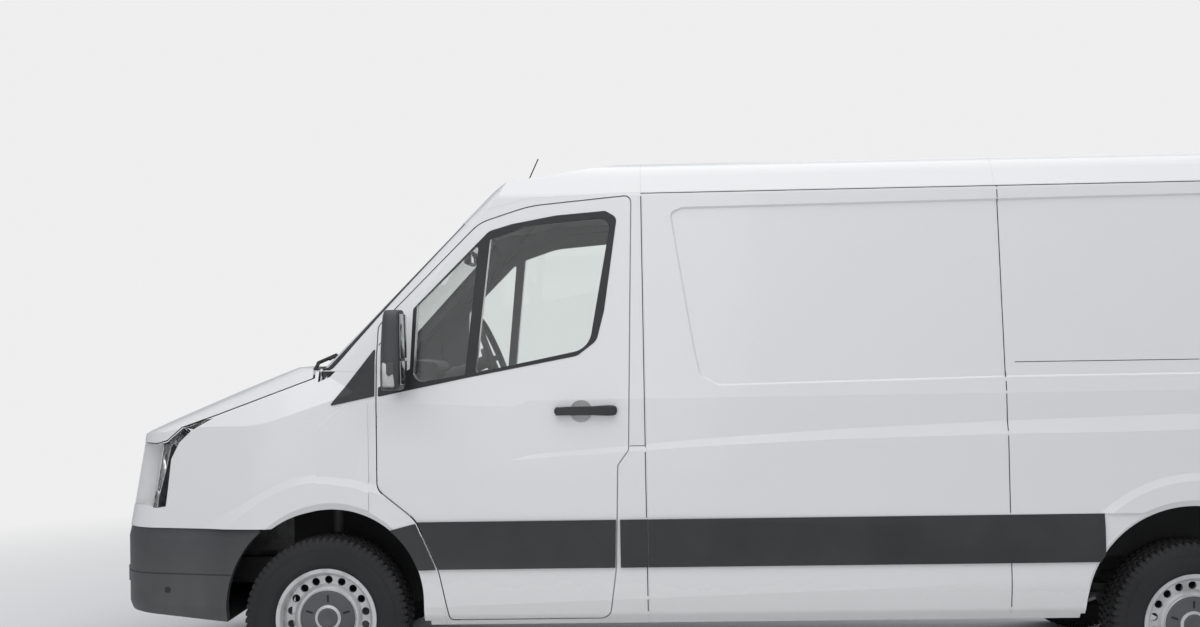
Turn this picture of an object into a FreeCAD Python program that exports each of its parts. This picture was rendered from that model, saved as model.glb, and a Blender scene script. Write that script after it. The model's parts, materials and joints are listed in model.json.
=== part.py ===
import FreeCAD, Part
import math
import os
import re
from collections import namedtuple
from types import SimpleNamespace
from FreeCAD import Placement, Rotation, Vector

# Panel van, medium wheelbase, standard roof, left-hand drive, standing empty on its wheels.
# Frame: +X to the rear, +Y to the van's right, +Z up, origin on the ground below the middle.
# The body is drawn level in its own frame, then set down on the wheels with its nose-down rake.
# Shapes are made for the right-hand side and mirrored to the left where both sides are alike.

DOC = FreeCAD.newDocument("panel_van")
SHEET = DOC.addObject("Spreadsheet::Sheet", "Sizes")
Size = namedtuple("Size", "alias value note")

SIZES = [
    Size("overall_length", 5910, "front bumper to rear bumper"),
    Size("front_overhang", 1000, "front bumper to front axle"),
    Size("wheelbase", 3665, "front axle to rear axle"),
    Size("roof_height", 2330, "top of the roof in the body frame"),
    Size("body_half_width", 985, "centre plane to the door skin at its widest"),
    Size("sill_height", 318, "bottom of the sills in the body frame"),
    Size("rake", 1.05, "nose-down stance of the empty van, degrees"),
    Size("wall", 60, "thickness of doors, side walls and roof"),
    Size("skin", 12, "outer layer of a door, beyond its inner box"),
    Size("shut_gap", 5, "gap round a moving panel"),
    Size("seam", 0.4, "gap between two fixed panels"),
    Size("door_flange", 18, "overlap of a door's skin on its frame"),
    Size("tyre_radius", 350, "rolling radius of the tyre"),
    Size("tyre_width", 235, "section width of the tyre"),
    Size("rim_radius", 217, "outer radius of the rim's flange"),
    Size("vent_count", 18, "round holes in a wheel"),
    Size("vent_radius", 17, "radius of a hole in a wheel"),
    Size("vent_circle", 163, "radius of the circle of holes"),
    Size("track_front", 1710, "between front wheel centres"),
    Size("track_rear", 1716, "between rear wheel centres"),
    Size("kingpin", 700, "centre plane to the axis a front wheel steers about"),
    Size("spindle_radius", 30, "stub axle through a hub"),
    Size("floor_top", 600, "load floor"),
    Size("floor_thickness", 50, "floor with its ribs"),
    Size("rail_inner", 410, "centre plane to the chassis rail"),
    Size("rail_width", 70, "width of a chassis rail"),
    Size("rail_bottom", 450, "underside of the chassis rails"),
    Size("b_seam", -573, "seam behind the cab door"),
    Size("c_seam", 942, "seam behind the sliding door"),
    Size("roof_seam", 2156, "side wall to roof seam"),
    Size("strip_bottom", 561, "bottom of the rubbing strip"),
    Size("strip_top", 762, "top of the rubbing strip"),
    Size("strip_thickness", 11, "rubbing strip, proud of the side"),
    Size("bumper_top", 738, "joint between front bumper and nose"),
    Size("rear_face", 2932, "outer face of the rear doors"),
    Size("glass", 5, "glass thickness"),
    Size("glass_fit", 0.3, "clearance round a pane"),
]


def fill_sheet():
    for row, size in enumerate(SIZES, 1):
        SHEET.set(f"A{row}", size.alias)
        SHEET.set(f"B{row}", str(size.value))
        SHEET.set(f"C{row}", size.note)
        SHEET.setAlias(f"B{row}", size.alias)
    DOC.recompute()
    return SimpleNamespace(**{size.alias: float(SHEET.get(size.alias)) for size in SIZES})


s = fill_sheet()
NOSE = -s.overall_length / 2
FRONT_AXLE = NOSE + s.front_overhang
REAR_AXLE = FRONT_AXLE + s.wheelbase
HALF = s.body_half_width
ROOF = s.roof_height
RAKE = math.radians(s.rake)
SET_DOWN = Placement(Vector(), Rotation(Vector(0, 1, 0), -s.rake), Vector(FRONT_AXLE, 0, s.tyre_radius))
PARTS = {}


# Document objects, bound to the sheet

def formula(value):
    """A number, or a sum of the sheet's aliases, as an expression."""
    names = "|".join(size.alias for size in SIZES)
    return re.sub(rf"\b({names})\b", r"Sizes.\1", str(value))


def primitive(kind, name, at, toward, sizes):
    item = DOC.addObject(kind, name)
    item.Placement = Placement(Vector(), Rotation(Vector(0, 0, 1), Vector(*toward)))
    for axis, value in zip("xyz", at):
        item.setExpression(f".Placement.Base.{axis}", formula(value))
    for size, value in sizes.items():
        item.setExpression(size, formula(value))
    return item


def block(name, at, length, width, height):
    """A box from its lowest corner; every size may be a formula."""
    return primitive("Part::Box", name, at, (0, 0, 1), {"Length": length, "Width": width, "Height": height})


def bar(name, at, toward, radius, length):
    """A cylinder from the middle of its first end."""
    return primitive("Part::Cylinder", name, at, toward, {"Radius": radius, "Height": length})


def united(name, items):
    item = DOC.addObject("Part::MultiFuse", name)
    item.Shapes = items
    return item


def cut(name, base, tool):
    item = DOC.addObject("Part::Cut", name)
    item.Base = base
    item.Tool = tool
    return item


def mirrored(name, source):
    """The left-hand twin of a right-hand object."""
    item = DOC.addObject("Part::Mirroring", name)
    item.Source = source
    item.Normal = Vector(0, 1, 0)
    return item


def keep(name, item, on_body=False):
    """Makes an object a sub-part; what is fixed to the body is set down with it."""
    item.Label = name
    if on_body:
        item.Placement = SET_DOWN.multiply(item.Placement)
    PARTS[name] = item
    return item


def keep_shape(name, shape, on_body=True):
    item = DOC.addObject("Part::Feature", name)
    item.Shape = shape
    item.Placement = shape.Placement
    return keep(name, item, on_body)


def keep_pair(name, shape):
    """A right-hand sub-part and its left-hand twin."""
    right = keep_shape(f"{name}_right", shape)
    keep(f"{name}_left", mirrored(f"{name}_left", right))


# Outlines: closed wires of lines and corner arcs

def rounded_corner(before, here, after, radius):
    """Start, middle and end of the arc that rounds a corner."""
    a = (before - here).normalize()
    b = (after - here).normalize()
    half = a.getAngle(b) / 2
    bisector = (a + b).normalize()
    centre = here + bisector * (radius / math.sin(half))
    reach = radius / math.tan(half)
    return here + a * reach, centre - bisector * radius, here + b * reach


def outline(points, place):
    """Closed wire through (u, v, corner radius); place turns a flat point into one in space."""
    flat = [Vector(u, v, 0) for u, v, _ in points]
    stops = []
    for i, (_, _, radius) in enumerate(points):
        if radius:
            stops.append(rounded_corner(flat[i - 1], flat[i], flat[(i + 1) % len(flat)], radius))
        else:
            stops.append((flat[i], None, flat[i]))
    edges = []
    for i, (start, middle, end) in enumerate(stops):
        following = stops[(i + 1) % len(stops)][0]
        if middle is not None:
            edges.append(Part.Arc(place(start), place(middle), place(end)).toShape())
        if (following - end).Length > 1e-4:
            edges.append(Part.makeLine(place(end), place(following)))
    return Part.Wire(Part.__sortEdges__(edges))


def sharp(points):
    return [(u, v, 0) for u, v in points]


def grown(points, amount):
    """An outline with every side moved outwards by amount."""
    flat = [Vector(u, v, 0) for u, v, _ in points]
    count = len(flat)
    area = sum(flat[i - 1].x * flat[i].y - flat[i].x * flat[i - 1].y for i in range(count))
    turn = 1 if area > 0 else -1
    result = []
    for i, (_, _, radius) in enumerate(points):
        a = (flat[i] - flat[i - 1]).normalize()
        b = (flat[(i + 1) % count] - flat[i]).normalize()
        both = (Vector(a.y, -a.x, 0) + Vector(b.y, -b.x, 0)) * turn
        shift = both * (2 * amount / both.dot(both))
        convex = a.cross(b).z * turn > 0
        if radius:
            radius = max(radius + (amount if convex else -amount), 1)
        result.append((flat[i].x + shift.x, flat[i].y + shift.y, radius))
    return result


def prism_y(points, low, high):
    """Side view outline (x, z), drawn out along y."""
    wire = outline(points, lambda p: Vector(p.x, low, p.y))
    return Part.Face(wire).extrude(Vector(0, high - low, 0))


def prism_x(points, low, high):
    """Front view outline (y, z), drawn out along x."""
    wire = outline(points, lambda p: Vector(low, p.x, p.y))
    return Part.Face(wire).extrude(Vector(high - low, 0, 0))


def prism_z(points, low, high, lean=0.0):
    """Plan outline (x, y), drawn out along z; lean is its run along x per rise."""
    wire = outline(points, lambda p: Vector(p.x, p.y, low))
    return Part.Face(wire).extrude(Vector(lean * (high - low), 0, high - low))


def box(x0, x1, y0, y1, z0, z1):
    return Part.makeBox(x1 - x0, y1 - y0, z1 - z0, Vector(x0, y0, z0))


def rod(start, end, radius):
    a, b = Vector(*start), Vector(*end)
    return Part.makeCylinder(radius, (b - a).Length, a, b - a)


def moved(shape, x=0, y=0, z=0):
    copy = shape.copy()
    copy.translate(Vector(x, y, z))
    return copy


def mirror(shape):
    return shape.mirror(Vector(), Vector(0, 1, 0))


def both(shape):
    """A right-hand shape and its mirror image."""
    return Part.makeCompound([shape, mirror(shape)])


def less(shape, tools):
    """The shape with each tool taken out in turn."""
    for tool in tools:
        shape = shape.cut(tool)
    return shape


def symmetric(half):
    """A full outline, across its first column's zero, from the half that starts there."""
    return half + [(-across, *rest) for across, *rest in reversed(half) if across]


# Master outlines in the body frame

# y, z, corner radius of the body's cross-section, from the middle of the roof down
SECTION = [
    (0, ROOF + 12, 9000), (800, ROOF - 44, 110), (870, s.roof_seam - 4, 60), (958, 1330, 700),
    (HALF, 1130, 300), (HALF, 470, 200), (965, 362, 40), (930, s.sill_height, 10),
]

# x, y, corner radius of the plan outline, from the middle of the nose back
PLAN = [
    (NOSE - 30, 0, 3000), (NOSE + 68, 800, 230), (-2330, 940, 900), (-1500, HALF + 3, 2500),
    (s.rear_face, HALF + 3, 60),
]

# x, z, corner radius of the cabin and load space from the side
SCREEN_BASE, SCREEN_TOP = (-2111, 1407), (-1319, 2192)
CABIN = [
    (-1985, s.sill_height, 0), (-1985, 1330, 0), (*SCREEN_BASE, 0), (*SCREEN_TOP, 450),
    (-560, ROOF - 18, 4000), (500, ROOF, 10000), (s.rear_face - 37, ROOF - 4, 60),
    (s.rear_face, 1300, 4000), (s.rear_face, s.sill_height, 0),
]

# x, z, corner radius of the nose and bonnet from the side
BONNET_LIP, COWL_EDGE = (-2872, 1120), (-2130, 1424)
NOSE_SIDE = [
    (NOSE + 12, s.bumper_top, 0), (NOSE + 30, 905, 900), (*BONNET_LIP, 70), (-2690, 1238, 500),
    (*COWL_EDGE, 0), (-1760, 1412, 0), (-1760, s.bumper_top, 0),
]
BUMPER_SIDE = [
    (NOSE + 85, 370, 30), (NOSE, 490, 120), (NOSE - 4, s.bumper_top - s.seam, 12),
    (-2240, s.bumper_top - s.seam, 0), (-2240, 560, 0), (-2306, 329, 80),
]
# z, distance from the plan outline, up the bumper
BUMPER_LEVELS = [(318, -26), (402, 0), (690, 0), (760, -16)]
BUMPER_GROOVE = 540

# Height above a slope, at a distance across it: (y, height, corner radius)
SCREEN_CROWN = [(0, 68, 3700), (868, -99, 110), (965, -275, 0), (1000, -4500, 0)]
BONNET_CROWN = [(0, 78, 5000), (830, -22, 160), (1100, -420, 0), (1100, -3000, 0)]
SLOPE_LEAD, SLOPE_RUN = 1500, 7500

# x, z along the crease below which the side stands out, and the plan line it fades in along
CREASE = [
    (-1495, 985), (-1281, 1022), (-1068, 1042), (-660, 1072), (-325, 1098), (243, 1130), (995, 1156),
    (1617, 1169), (2960, 1180),
]
CREASE_DEPTH, CREASE_RUN = 19, 68
CREASE_FADE = sharp([(-1500, 989), (-1050, 965), (3000, 965), (3000, 1100), (-1500, 1100)])

# x, y, z along the wing's own crease, which deepens towards the door's dark triangle
WING_CREASE = [
    (-2452, 909.5, 1092), (-2330, 934.5, 1121), (-2059, 950, 1187), (-1971, 955, 1212), (-1925, 957.5, 1252),
]
WING_CREASE_SLOPE = 2.5

# Wheel opening, raised band, and wheel room; side and lean are the skin's distance and turn in plan there
Arch = namedtuple(
    "Arch", "x z radius flare_x flare_z flare_radius room_x room_z room_radius inboard side lean")
ARCHES = {
    "front": Arch(-1925, 425, 395, -1966, 461, 500, FRONT_AXLE + 5, 385, 445, 500, 961, 3.3),
    "rear": Arch(1702, 335, 452, 1724, 325, 600, 1702, 335, 470, 680, HALF, 0),
}
ROOM_DEPTH, FLARE_RUN = 948, 32
LIP_WIDTH, LIP_DEPTH = 26, 18

DOOR = [
    (-1720, 1599, 40), (-1275, 2036, 170), (-1060, 2104, 500), (-624, 2142, 25), (-652, 1056, 8),
    (-699, 992, 8), (-712, 560, 400), (-742, 346, 45), (-1418, 346, 15), (-1465, 560, 300), (-1558, 772, 120),
    (-1722, 905, 60),
]
MAIN_GLASS = [(-1298, 1392, 8), (-812, 1487, 95), (-708, 2052, 42), (-1060, 2024, 300), (-1231, 1968, 12)]
QUARTER_GLASS = [(-1566, 1352, 40), (-1342, 1384, 8), (-1280, 1952, 10), (-1548, 1688, 25)]
WING_STRIP = sharp([(-1700, 722), (-1549, 760), (-1400, 762), (-1400, 562), (-1700, 556)])
TRIANGLE = [(-1925, 1261, 4), (-1731, 1506, 4), (-1731, 1300, 4)]
SCREEN_EDGE = [(0, 905, 4000), (700, 880, 60), (790, -10, 60), (0, -60, 5000)]
SLIDING_DOOR = [(-545, 372, 60), (915, 372, 60), (915, 2128, 60), (-545, 2128, 60)]
REAR_DOOR = [(3, 401, 0), (880, 401, 56), (880, 1330, 900), (812, 2139, 56), (3, 2139, 0)]
REAR_GLASS = [(130, 1300, 50), (740, 1300, 50), (715, 1960, 50), (130, 1960, 50)]
TAIL_LAMP = [(893, 1150, 12), (1100, 1150, 0), (1100, 1560, 0), (893, 1560, 12)]
MID_RECESS = [
    (-458, 2066, 30), (-405, 2089, 30), (965, 2097, 0), (965, 1336, 0), (-265, 1320, 60), (-345, 1366, 60),
    (-372, 1500, 400),
]
REAR_RECESS = [(925, 2097, 0), (2700, 2106, 60), (2700, 1336, 60), (925, 1336, 0)]

# Regions that divide the shell, side view
ROOF_REGION = sharp([
    (-1640, 2346), (-1346, 2052), (-1290, 2086), (-1060, 2142), (-620, s.roof_seam), (3000, s.roof_seam),
    (3000, 2500), (-1640, 2500),
])
WING_REGION = sharp([
    (-3000, 300), (-1440, 300), (-1440, 560), (-1532, 785), (-1705, 928), (-1705, 1404), (-1950, 1408),
    (-3000, 1408),
])
BONNET_REGION = sharp([
    (-3000, 1106), (-2723, 1106), (-2672, 1119), (-2603, 1176), (-2438, 1231), (-2011, 1382), (-2011, 1700),
    (-3000, 1700),
])
LAMP_REGION = sharp([
    (-3000, 824), (-2716, 824), (-2678, 830), (-2667, 906), (-2652, 1036), (-2613, 1108), (-2555, 1160),
    (-2460, 1212), (-2555, 1196), (-2600, 1166), (-2670, 1109), (-2723, 1100), (-3000, 1100),
])
BONNET_REAR = [(-2205, 0, 2200), (-2016, 860, 60), (-2016, 1200, 0), (-1800, 1200, 0)]

COWL_HALF = 830

# Axes of the hinges
BONNET_AXIS = SimpleNamespace(x=-2002, z=1402, arm=(806, 826))
CAB_DOOR_AXIS = SimpleNamespace(x=-1766, y=951, heights=(960, 1190))
REAR_DOOR_AXIS = SimpleNamespace(x=s.rear_face + 19, y=906)
# height, distance from the axis in to the door's edge, and in to the root of the body's arms
RearHinge = namedtuple("RearHinge", "z edge root")
REAR_HINGES = [RearHinge(560, 30, 9), RearHinge(1080, 30, 9), RearHinge(1900, 77, 34)]


# The closed outer form, and the shell below it

def slope_frame(start, end):
    """Direction up a slope given in side view, and its outward normal."""
    run, rise = end[0] - start[0], end[1] - start[1]
    length = math.hypot(run, rise)
    return Vector(run / length, 0, rise / length), Vector(-rise / length, 0, run / length)


def slope_prism(start, end, half):
    """A prism that runs up a slope, its crown given across the slope."""
    along, normal = slope_frame(start, end)
    origin = Vector(start[0], 0, start[1]) - along * SLOPE_LEAD
    wire = outline(symmetric(half), lambda p: origin + Vector(0, p.x, 0) + normal * p.y)
    return Part.Face(wire).extrude(along * SLOPE_RUN)


def plan_prism(half, low, high, lean=0.0):
    """A plan outline, given from the middle to the right-hand side, drawn out along z on both sides."""
    return prism_z(half + [(x, -y, radius) for x, y, radius in reversed(half) if y], low, high, lean)


def cabin_form():
    form = prism_y(CABIN, -1100, 1100)
    form = form.common(prism_x(symmetric(SECTION), -3000, 3000))
    form = form.common(plan_prism(PLAN, 200, 2500))
    return form.common(slope_prism(SCREEN_BASE, SCREEN_TOP, SCREEN_CROWN))


def nose_form():
    lean = (BONNET_LIP[0] - NOSE_SIDE[0][0]) / (BONNET_LIP[1] - s.bumper_top)
    form = prism_y(NOSE_SIDE, -1100, 1100)
    form = form.common(plan_prism(PLAN, 700, 1700, lean))
    form = form.common(prism_x(symmetric(SECTION), -3100, 0))
    return form.common(slope_prism(BONNET_LIP, COWL_EDGE, BONNET_CROWN))


def bumper_form():
    plan = PLAN + [(x, -y, radius) for x, y, radius in reversed(PLAN) if y]
    wires = [outline(grown(plan, amount), lambda p, z=z: Vector(p.x, p.y, z)) for z, amount in BUMPER_LEVELS]
    form = prism_y(BUMPER_SIDE, -1100, 1100).common(Part.makeLoft(wires, True, True))
    return form.common(prism_x(symmetric(SECTION), -3100, 0))


def drawn_in(shape, amount):
    """The shape less a layer at its front and sides."""
    return moved(shape, x=amount).common(moved(shape, y=amount)).common(moved(shape, y=-amount))


def crease_tool():
    """What lies outside the upper side, down to the crease and its sloping lower edge."""
    top = [(2960, 1500), (-1495, 1500)]
    inner = sharp(CREASE + top)
    outer = sharp([(x, z - CREASE_RUN) for x, z in CREASE] + top)
    levels = [(inner, HALF - CREASE_DEPTH), (outer, HALF + 1), (outer, HALF + 60)]
    wires = [outline(points, lambda p, y=y: Vector(p.x, y, p.y)) for points, y in levels]
    tool = Part.makeLoft(wires[:2], True, True).fuse(Part.makeLoft(wires[1:], True, True))
    return tool.common(prism_z(CREASE_FADE, 900, 1600))


def wing_crease_tool():
    """What lies outside the wing above its own crease, down to a narrow sloping edge."""
    base, reach = 880, 140
    line = [(x, z + (y - base) * WING_CREASE_SLOPE) for x, y, z in WING_CREASE]
    top = line[-1][1] + 400
    wire = outline(sharp(line + [(line[-1][0], top), (line[0][0], top)]), lambda p: Vector(p.x, base, p.y))
    sloping = Part.Face(wire).extrude(Vector(0, reach, -reach * WING_CREASE_SLOPE))
    plan = [(x, y) for x, y, _ in WING_CREASE] + [(WING_CREASE[-1][0], 1100), (WING_CREASE[0][0], 1100)]
    return sloping.common(prism_z(sharp(plan), 1000, 1500))


def recess_tool(points, depth=9, bevel=8):
    """A sunken field in the upper side, with a sloping edge."""
    eaves, waist = SECTION[2], SECTION[3]
    low = Vector(0, waist[0], waist[1])
    up = (Vector(0, eaves[0], eaves[1]) - low).normalize()
    normal = Vector(0, up.z, -up.y)

    def at(level):
        return lambda p: Vector(p.x, low.y, low.z) + up * ((p.y - low.z) / up.z) + normal * level

    sunken = outline(grown(points, -bevel), at(-depth))
    edge = outline(points, at(0))
    far = outline(points, at(60))
    return Part.makeLoft([sunken, edge], True, True).fuse(Part.makeLoft([edge, far], True, True))


def arch_cone(arch, x, z, inner, inner_radius, outer, outer_radius):
    """A cone about the skin's normal at a wheel opening, between two levels from the skin."""
    turn = math.radians(arch.lean)
    normal = Vector(-math.sin(turn), math.cos(turn), 0)
    start = Vector(x, arch.side, z) + normal * inner
    return Part.makeCone(inner_radius, outer_radius, outer - inner, start, normal)


def flare(arch):
    """The raised band round a wheel opening."""
    cone = arch_cone(arch, arch.flare_x, arch.flare_z,
                     -4 * s.strip_thickness, arch.flare_radius + 4 * FLARE_RUN,
                     s.strip_thickness, arch.flare_radius - FLARE_RUN)
    band = moved(SMOOTH, y=s.strip_thickness).common(cone)
    return band.common(box(-3000, 3000, arch.side - 60, 1200, 700, 1500)).cut(INNER)


def lip(arch):
    """The bevel round a wheel opening's edge."""
    slope = LIP_WIDTH / LIP_DEPTH
    inner = s.strip_thickness - LIP_DEPTH
    return arch_cone(arch, arch.x, arch.z, inner - 20, arch.radius - 20 * slope,
                     inner + 60, arch.radius + 60 * slope)


def opening(arch, radius):
    """A wheel opening through the side, down to the ground."""
    hole = Part.makeCylinder(radius, 2600, Vector(arch.x, -1300, arch.z), Vector(0, 1, 0))
    return hole.fuse(box(arch.x - radius, arch.x + radius, -1300, 1300, 0, arch.z))


def room(arch, radius, depth):
    """The space for a wheel inboard of the skin."""
    space = Part.makeCylinder(radius, 2 * depth, Vector(arch.room_x, -depth, arch.room_z), Vector(0, 1, 0))
    return space.fuse(box(arch.room_x - radius, arch.room_x + radius, -depth, depth, 0, arch.room_z))


def wheelhouse(arch):
    """Everything that a wheel needs free, on both sides."""
    space = room(arch, arch.room_radius, ROOM_DEPTH).fuse(opening(arch, arch.radius))
    return space.cut(box(arch.x - 700, arch.x + 700, -arch.inboard, arch.inboard, -1, 1600))


def liner(arch, thickness, bottom):
    """The inner arch over a wheel and its inboard wall, on both sides."""
    depth = HALF - s.wall - 1
    around = box(arch.x - 700, arch.x + 700, -depth, depth, bottom, 1600)
    outer = room(arch, arch.room_radius + thickness, depth)
    inboard = arch.inboard - thickness
    outer = outer.cut(box(arch.x - 700, arch.x + 700, -inboard, inboard, -1, 1600))
    inner = room(arch, arch.room_radius + s.seam, depth + 1)
    inner = inner.cut(box(arch.x - 700, arch.x + 700, -arch.inboard, arch.inboard, -1, 1600))
    return outer.cut(inner).common(around)


SMOOTH = cabin_form().fuse(nose_form()).removeSplitter()
SIDE_TOOLS = [crease_tool(), wing_crease_tool(), recess_tool(MID_RECESS), recess_tool(REAR_RECESS)]
FORM = less(SMOOTH, [tool for right in SIDE_TOOLS for tool in (right, mirror(right))])
INNER = moved(SMOOTH, y=s.wall)
for shift in ({"y": -s.wall}, {"z": -s.wall}, {"x": -s.wall}, {"x": s.wall * 0.9, "z": -s.wall * 0.3}):
    INNER = INNER.common(moved(SMOOTH, **shift))
SHELL = FORM.cut(INNER)
WHEEL_ROOMS = {axle: wheelhouse(arch) for axle, arch in ARCHES.items()}
REGION = {name: prism_y(points, -1200, 1200) for name, points in (
    ("roof", ROOF_REGION), ("wing", WING_REGION), ("bonnet", BONNET_REGION), ("lamp", LAMP_REGION))}
BEYOND = {name: prism_y(grown(points, gap), -1200, 1200) for name, points, gap in (
    ("roof", ROOF_REGION, s.seam), ("wing", WING_REGION, s.seam), ("bonnet", BONNET_REGION, s.shut_gap),
    ("lamp", LAMP_REGION, s.seam))}


def right(points, low=480, high=1200):
    """Side view outline through the right-hand wall only."""
    return prism_y(points, low, high)


def below(amount):
    """The form moved inwards through the right-hand wall."""
    return moved(FORM, y=-amount)


def door_opening(points):
    """What a side door needs out of the body: its skin with the gap, and the opening inside the flange."""
    skin = right(grown(points, s.shut_gap)).cut(below(s.skin + s.shut_gap))
    return skin.fuse(right(grown(points, s.shut_gap - s.door_flange)))


def side_pane(points):
    """Window glass that follows the body side, inside its opening."""
    region = right(grown(points, -s.glass_fit))
    return region.common(below(4)).cut(below(4 + s.glass))


def screen_prism(amount):
    """The windscreen's outline, grown by amount and driven in along its normal."""
    along, normal = slope_frame(SCREEN_BASE, SCREEN_TOP)
    origin = Vector(-2050, 0, 1467) - normal * 300
    top, corner, foot, bottom = SCREEN_EDGE
    points = [top, corner, foot, bottom] + [(-y, rise, radius) for y, rise, radius in (foot, corner)]
    wire = outline(grown(points, amount), lambda p: origin + Vector(0, p.x, 0) + along * p.y)
    return Part.Face(wire).extrude(normal * 600)


def screen_depth(amount):
    """The form moved inwards through the windscreen."""
    _, normal = slope_frame(SCREEN_BASE, SCREEN_TOP)
    return moved(SMOOTH, x=-normal.x * amount, z=-normal.z * amount)


DOOR_TOOL = door_opening(DOOR)
DOOR_TOOLS = [DOOR_TOOL, mirror(DOOR_TOOL)]


# Body panels

def flared(shape, axle, region):
    """A right-hand panel with the raised band round its wheel opening."""
    arch = ARCHES[axle]
    return less(shape.fuse(flare(arch).common(region).cut(DOOR_TOOL)), [WHEEL_ROOMS[axle], lip(arch)])


def make_roof():
    roof = SHELL.common(REGION["roof"]).cut(screen_prism(0))
    half = s.seam / 2
    joints = [box(x - half, x + half, -1200, 1200, 1900, 2500) for x in (s.b_seam - 6, s.c_seam - 10)]
    keep_shape("roof", less(roof, joints))


def behind_bonnet(gap):
    """What lies behind the bonnet's rear edge, from a gap away from it."""
    return moved(plan_prism(BONNET_REAR, 1000, 1700), x=gap)


def bonnet_slots():
    """Room round the bonnet's two hinge arms."""
    x, z = BONNET_AXIS.x, BONNET_AXIS.z
    inner, outer = BONNET_AXIS.arm
    return both(box(x - 110, x + 18, inner - s.shut_gap, outer + s.shut_gap + 2, z - 30, z + 60))


def make_cab_frame():
    """Pillars and sills of the cab with its front wall, the cowl and the pins of the bonnet's hinges."""
    cab = SHELL.common(box(-1985, s.b_seam - s.seam / 2, -1200, 1200, 300, 2500))
    cab = less(cab, [BEYOND["roof"], BEYOND["wing"], *DOOR_TOOLS, screen_prism(0), BEYOND["bonnet"]])
    within = moved(SMOOTH, y=-20).common(moved(SMOOTH, y=20)).common(moved(SMOOTH, z=-20))
    wall = box(-1985, -1955, -920, 920, 840, 1396).common(within)
    sides = box(-1985, -1712, 893, 920, 840, 1396).common(moved(within, y=20 - s.wall)).cut(DOOR_TOOL)
    cowl = box(-2200, -1955, -COWL_HALF + s.seam, COWL_HALF - s.seam, 1370, 1430).common(moved(SMOOTH, z=-8))
    cowl = cowl.common(behind_bonnet(22)).cut(bonnet_slots())
    x, z = BONNET_AXIS.x, BONNET_AXIS.z
    inner, outer = BONNET_AXIS.arm
    ear = box(x - 8, -1955, inner - s.shut_gap - 11, inner - s.shut_gap, z - 50, z + 8)
    ears = both(ear.fuse(rod((x, inner - 12, z), (x, outer, z), 5)))
    cab = cab.cut(bonnet_slots()).fuse([wall, both(sides), cowl, ears])
    pockets = [both(pocket) for pocket in hinge_pockets()]
    screen = screen_prism(0).cut(screen_depth(14))
    keep_shape("cab_frame", less(cab, [screen, WHEEL_ROOMS["front"], *pockets]))


def make_wings():
    """A wing with its headlamp opening, wheelhouse and the pins of the cab door's hinges."""
    wing = SHELL.common(REGION["wing"]).common(box(-3000, -1400, 0, 1200, 300, 1500))
    wing = less(wing, [box(-2100, -1700, 0, COWL_HALF - 40, 1280, 1600),
                       box(-2012, -1700, 0, COWL_HALF, 1280, 1600), box(-1990, -1700, 0, 890, 300, 1600)])
    wing = flared(wing, "front", REGION["wing"])
    wing = less(wing, [BEYOND["bonnet"], BEYOND["lamp"], grille_box(s.seam), DOOR_TOOL, *hinge_pockets()])
    arch = ARCHES["front"]
    inner = liner(arch, 6, arch.room_z - 40).common(box(-3000, -1400, 0, 1200, 300, 1500))
    wing = wing.fuse(inner.cut(box(-3000, -2200, 0, 1200, 0, s.bumper_top)))
    within = moved(SMOOTH, y=-14).common(moved(SMOOTH, z=-14))
    wing = less(wing, [box(-1985.4, -1700, 0, 922, 838, 1600).common(within), bonnet_slots()])
    x, y = CAB_DOOR_AXIS.x, CAB_DOOR_AXIS.y
    pins = [rod((x, y, z - 45), (x, y, z + 45), 4) for z in CAB_DOOR_AXIS.heights]
    keep_shape("front_wings", both(wing.fuse(pins)))


def grille_box(gap):
    return box(-3000, -2600, -470 - gap, 470 + gap, s.bumper_top + 4 - gap, 1104 + gap)


def make_front():
    lamps = SHELL.common(REGION["lamp"]).common(box(-3100, -2000, 480, 1200, 600, 1400))
    keep_shape("headlamps", both(lamps.cut(BEYOND["bonnet"])))
    grille = SHELL.common(grille_box(0)).cut(BEYOND["bonnet"])
    bars = [box(-3000, -2600, -420, 420, z, z + 45) for z in (775, 850, 925, 1000)]
    keep_shape("grille", less(grille, [bar.cut(moved(SMOOTH, x=22)) for bar in bars]))


def make_bonnet():
    bonnet = SHELL.common(REGION["bonnet"]).cut(moved(FORM, z=-34)).cut(behind_bonnet(0))
    x, z = BONNET_AXIS.x, BONNET_AXIS.z
    arm = prism_y([(x - 95, z - 10, 4), (x + 10, z - 10, 9), (x + 10, z + 10, 9), (x - 95, z + 10, 4)],
                  *BONNET_AXIS.arm)
    arm = arm.common(moved(FORM, z=-2)).cut(rod((x, 700, z), (x, 900, z), 5.05))
    keep_shape("bonnet", bonnet.fuse(both(arm)))


def make_windscreen():
    pane = screen_prism(-s.glass_fit).common(box(-2300, -1200, -900, 900, 1300, 2300))
    keep_shape("windscreen", pane.common(screen_depth(6)).cut(screen_depth(6 + s.glass)))


# Cab doors

def hinge_pockets():
    """Room in the pillar for each hinge arm."""
    x, y = CAB_DOOR_AXIS.x, CAB_DOOR_AXIS.y
    return [box(x - 20, x + 110, y - 66, y + 9, z - 27, z + 27) for z in CAB_DOOR_AXIS.heights]


def hinge_arm(z):
    """A cranked arm, from its pin in the pillar round to the inside of the door."""
    x, y = CAB_DOOR_AXIS.x, CAB_DOOR_AXIS.y
    leg = box(x - 7, x + 7, y - 56, y, z - 20, z + 20).fuse(rod((x, y, z - 20), (x, y, z + 20), 7))
    foot = box(x - 7, x + 90, y - 56, y - 40, z - 20, z + 20)
    toe = box(x + 66, x + 90, y - 56, y - 30, z - 20, z + 20)
    return leg.fuse(foot.fuse(toe)).cut(rod((x, y, z - 30), (x, y, z + 30), 4.05))


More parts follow.
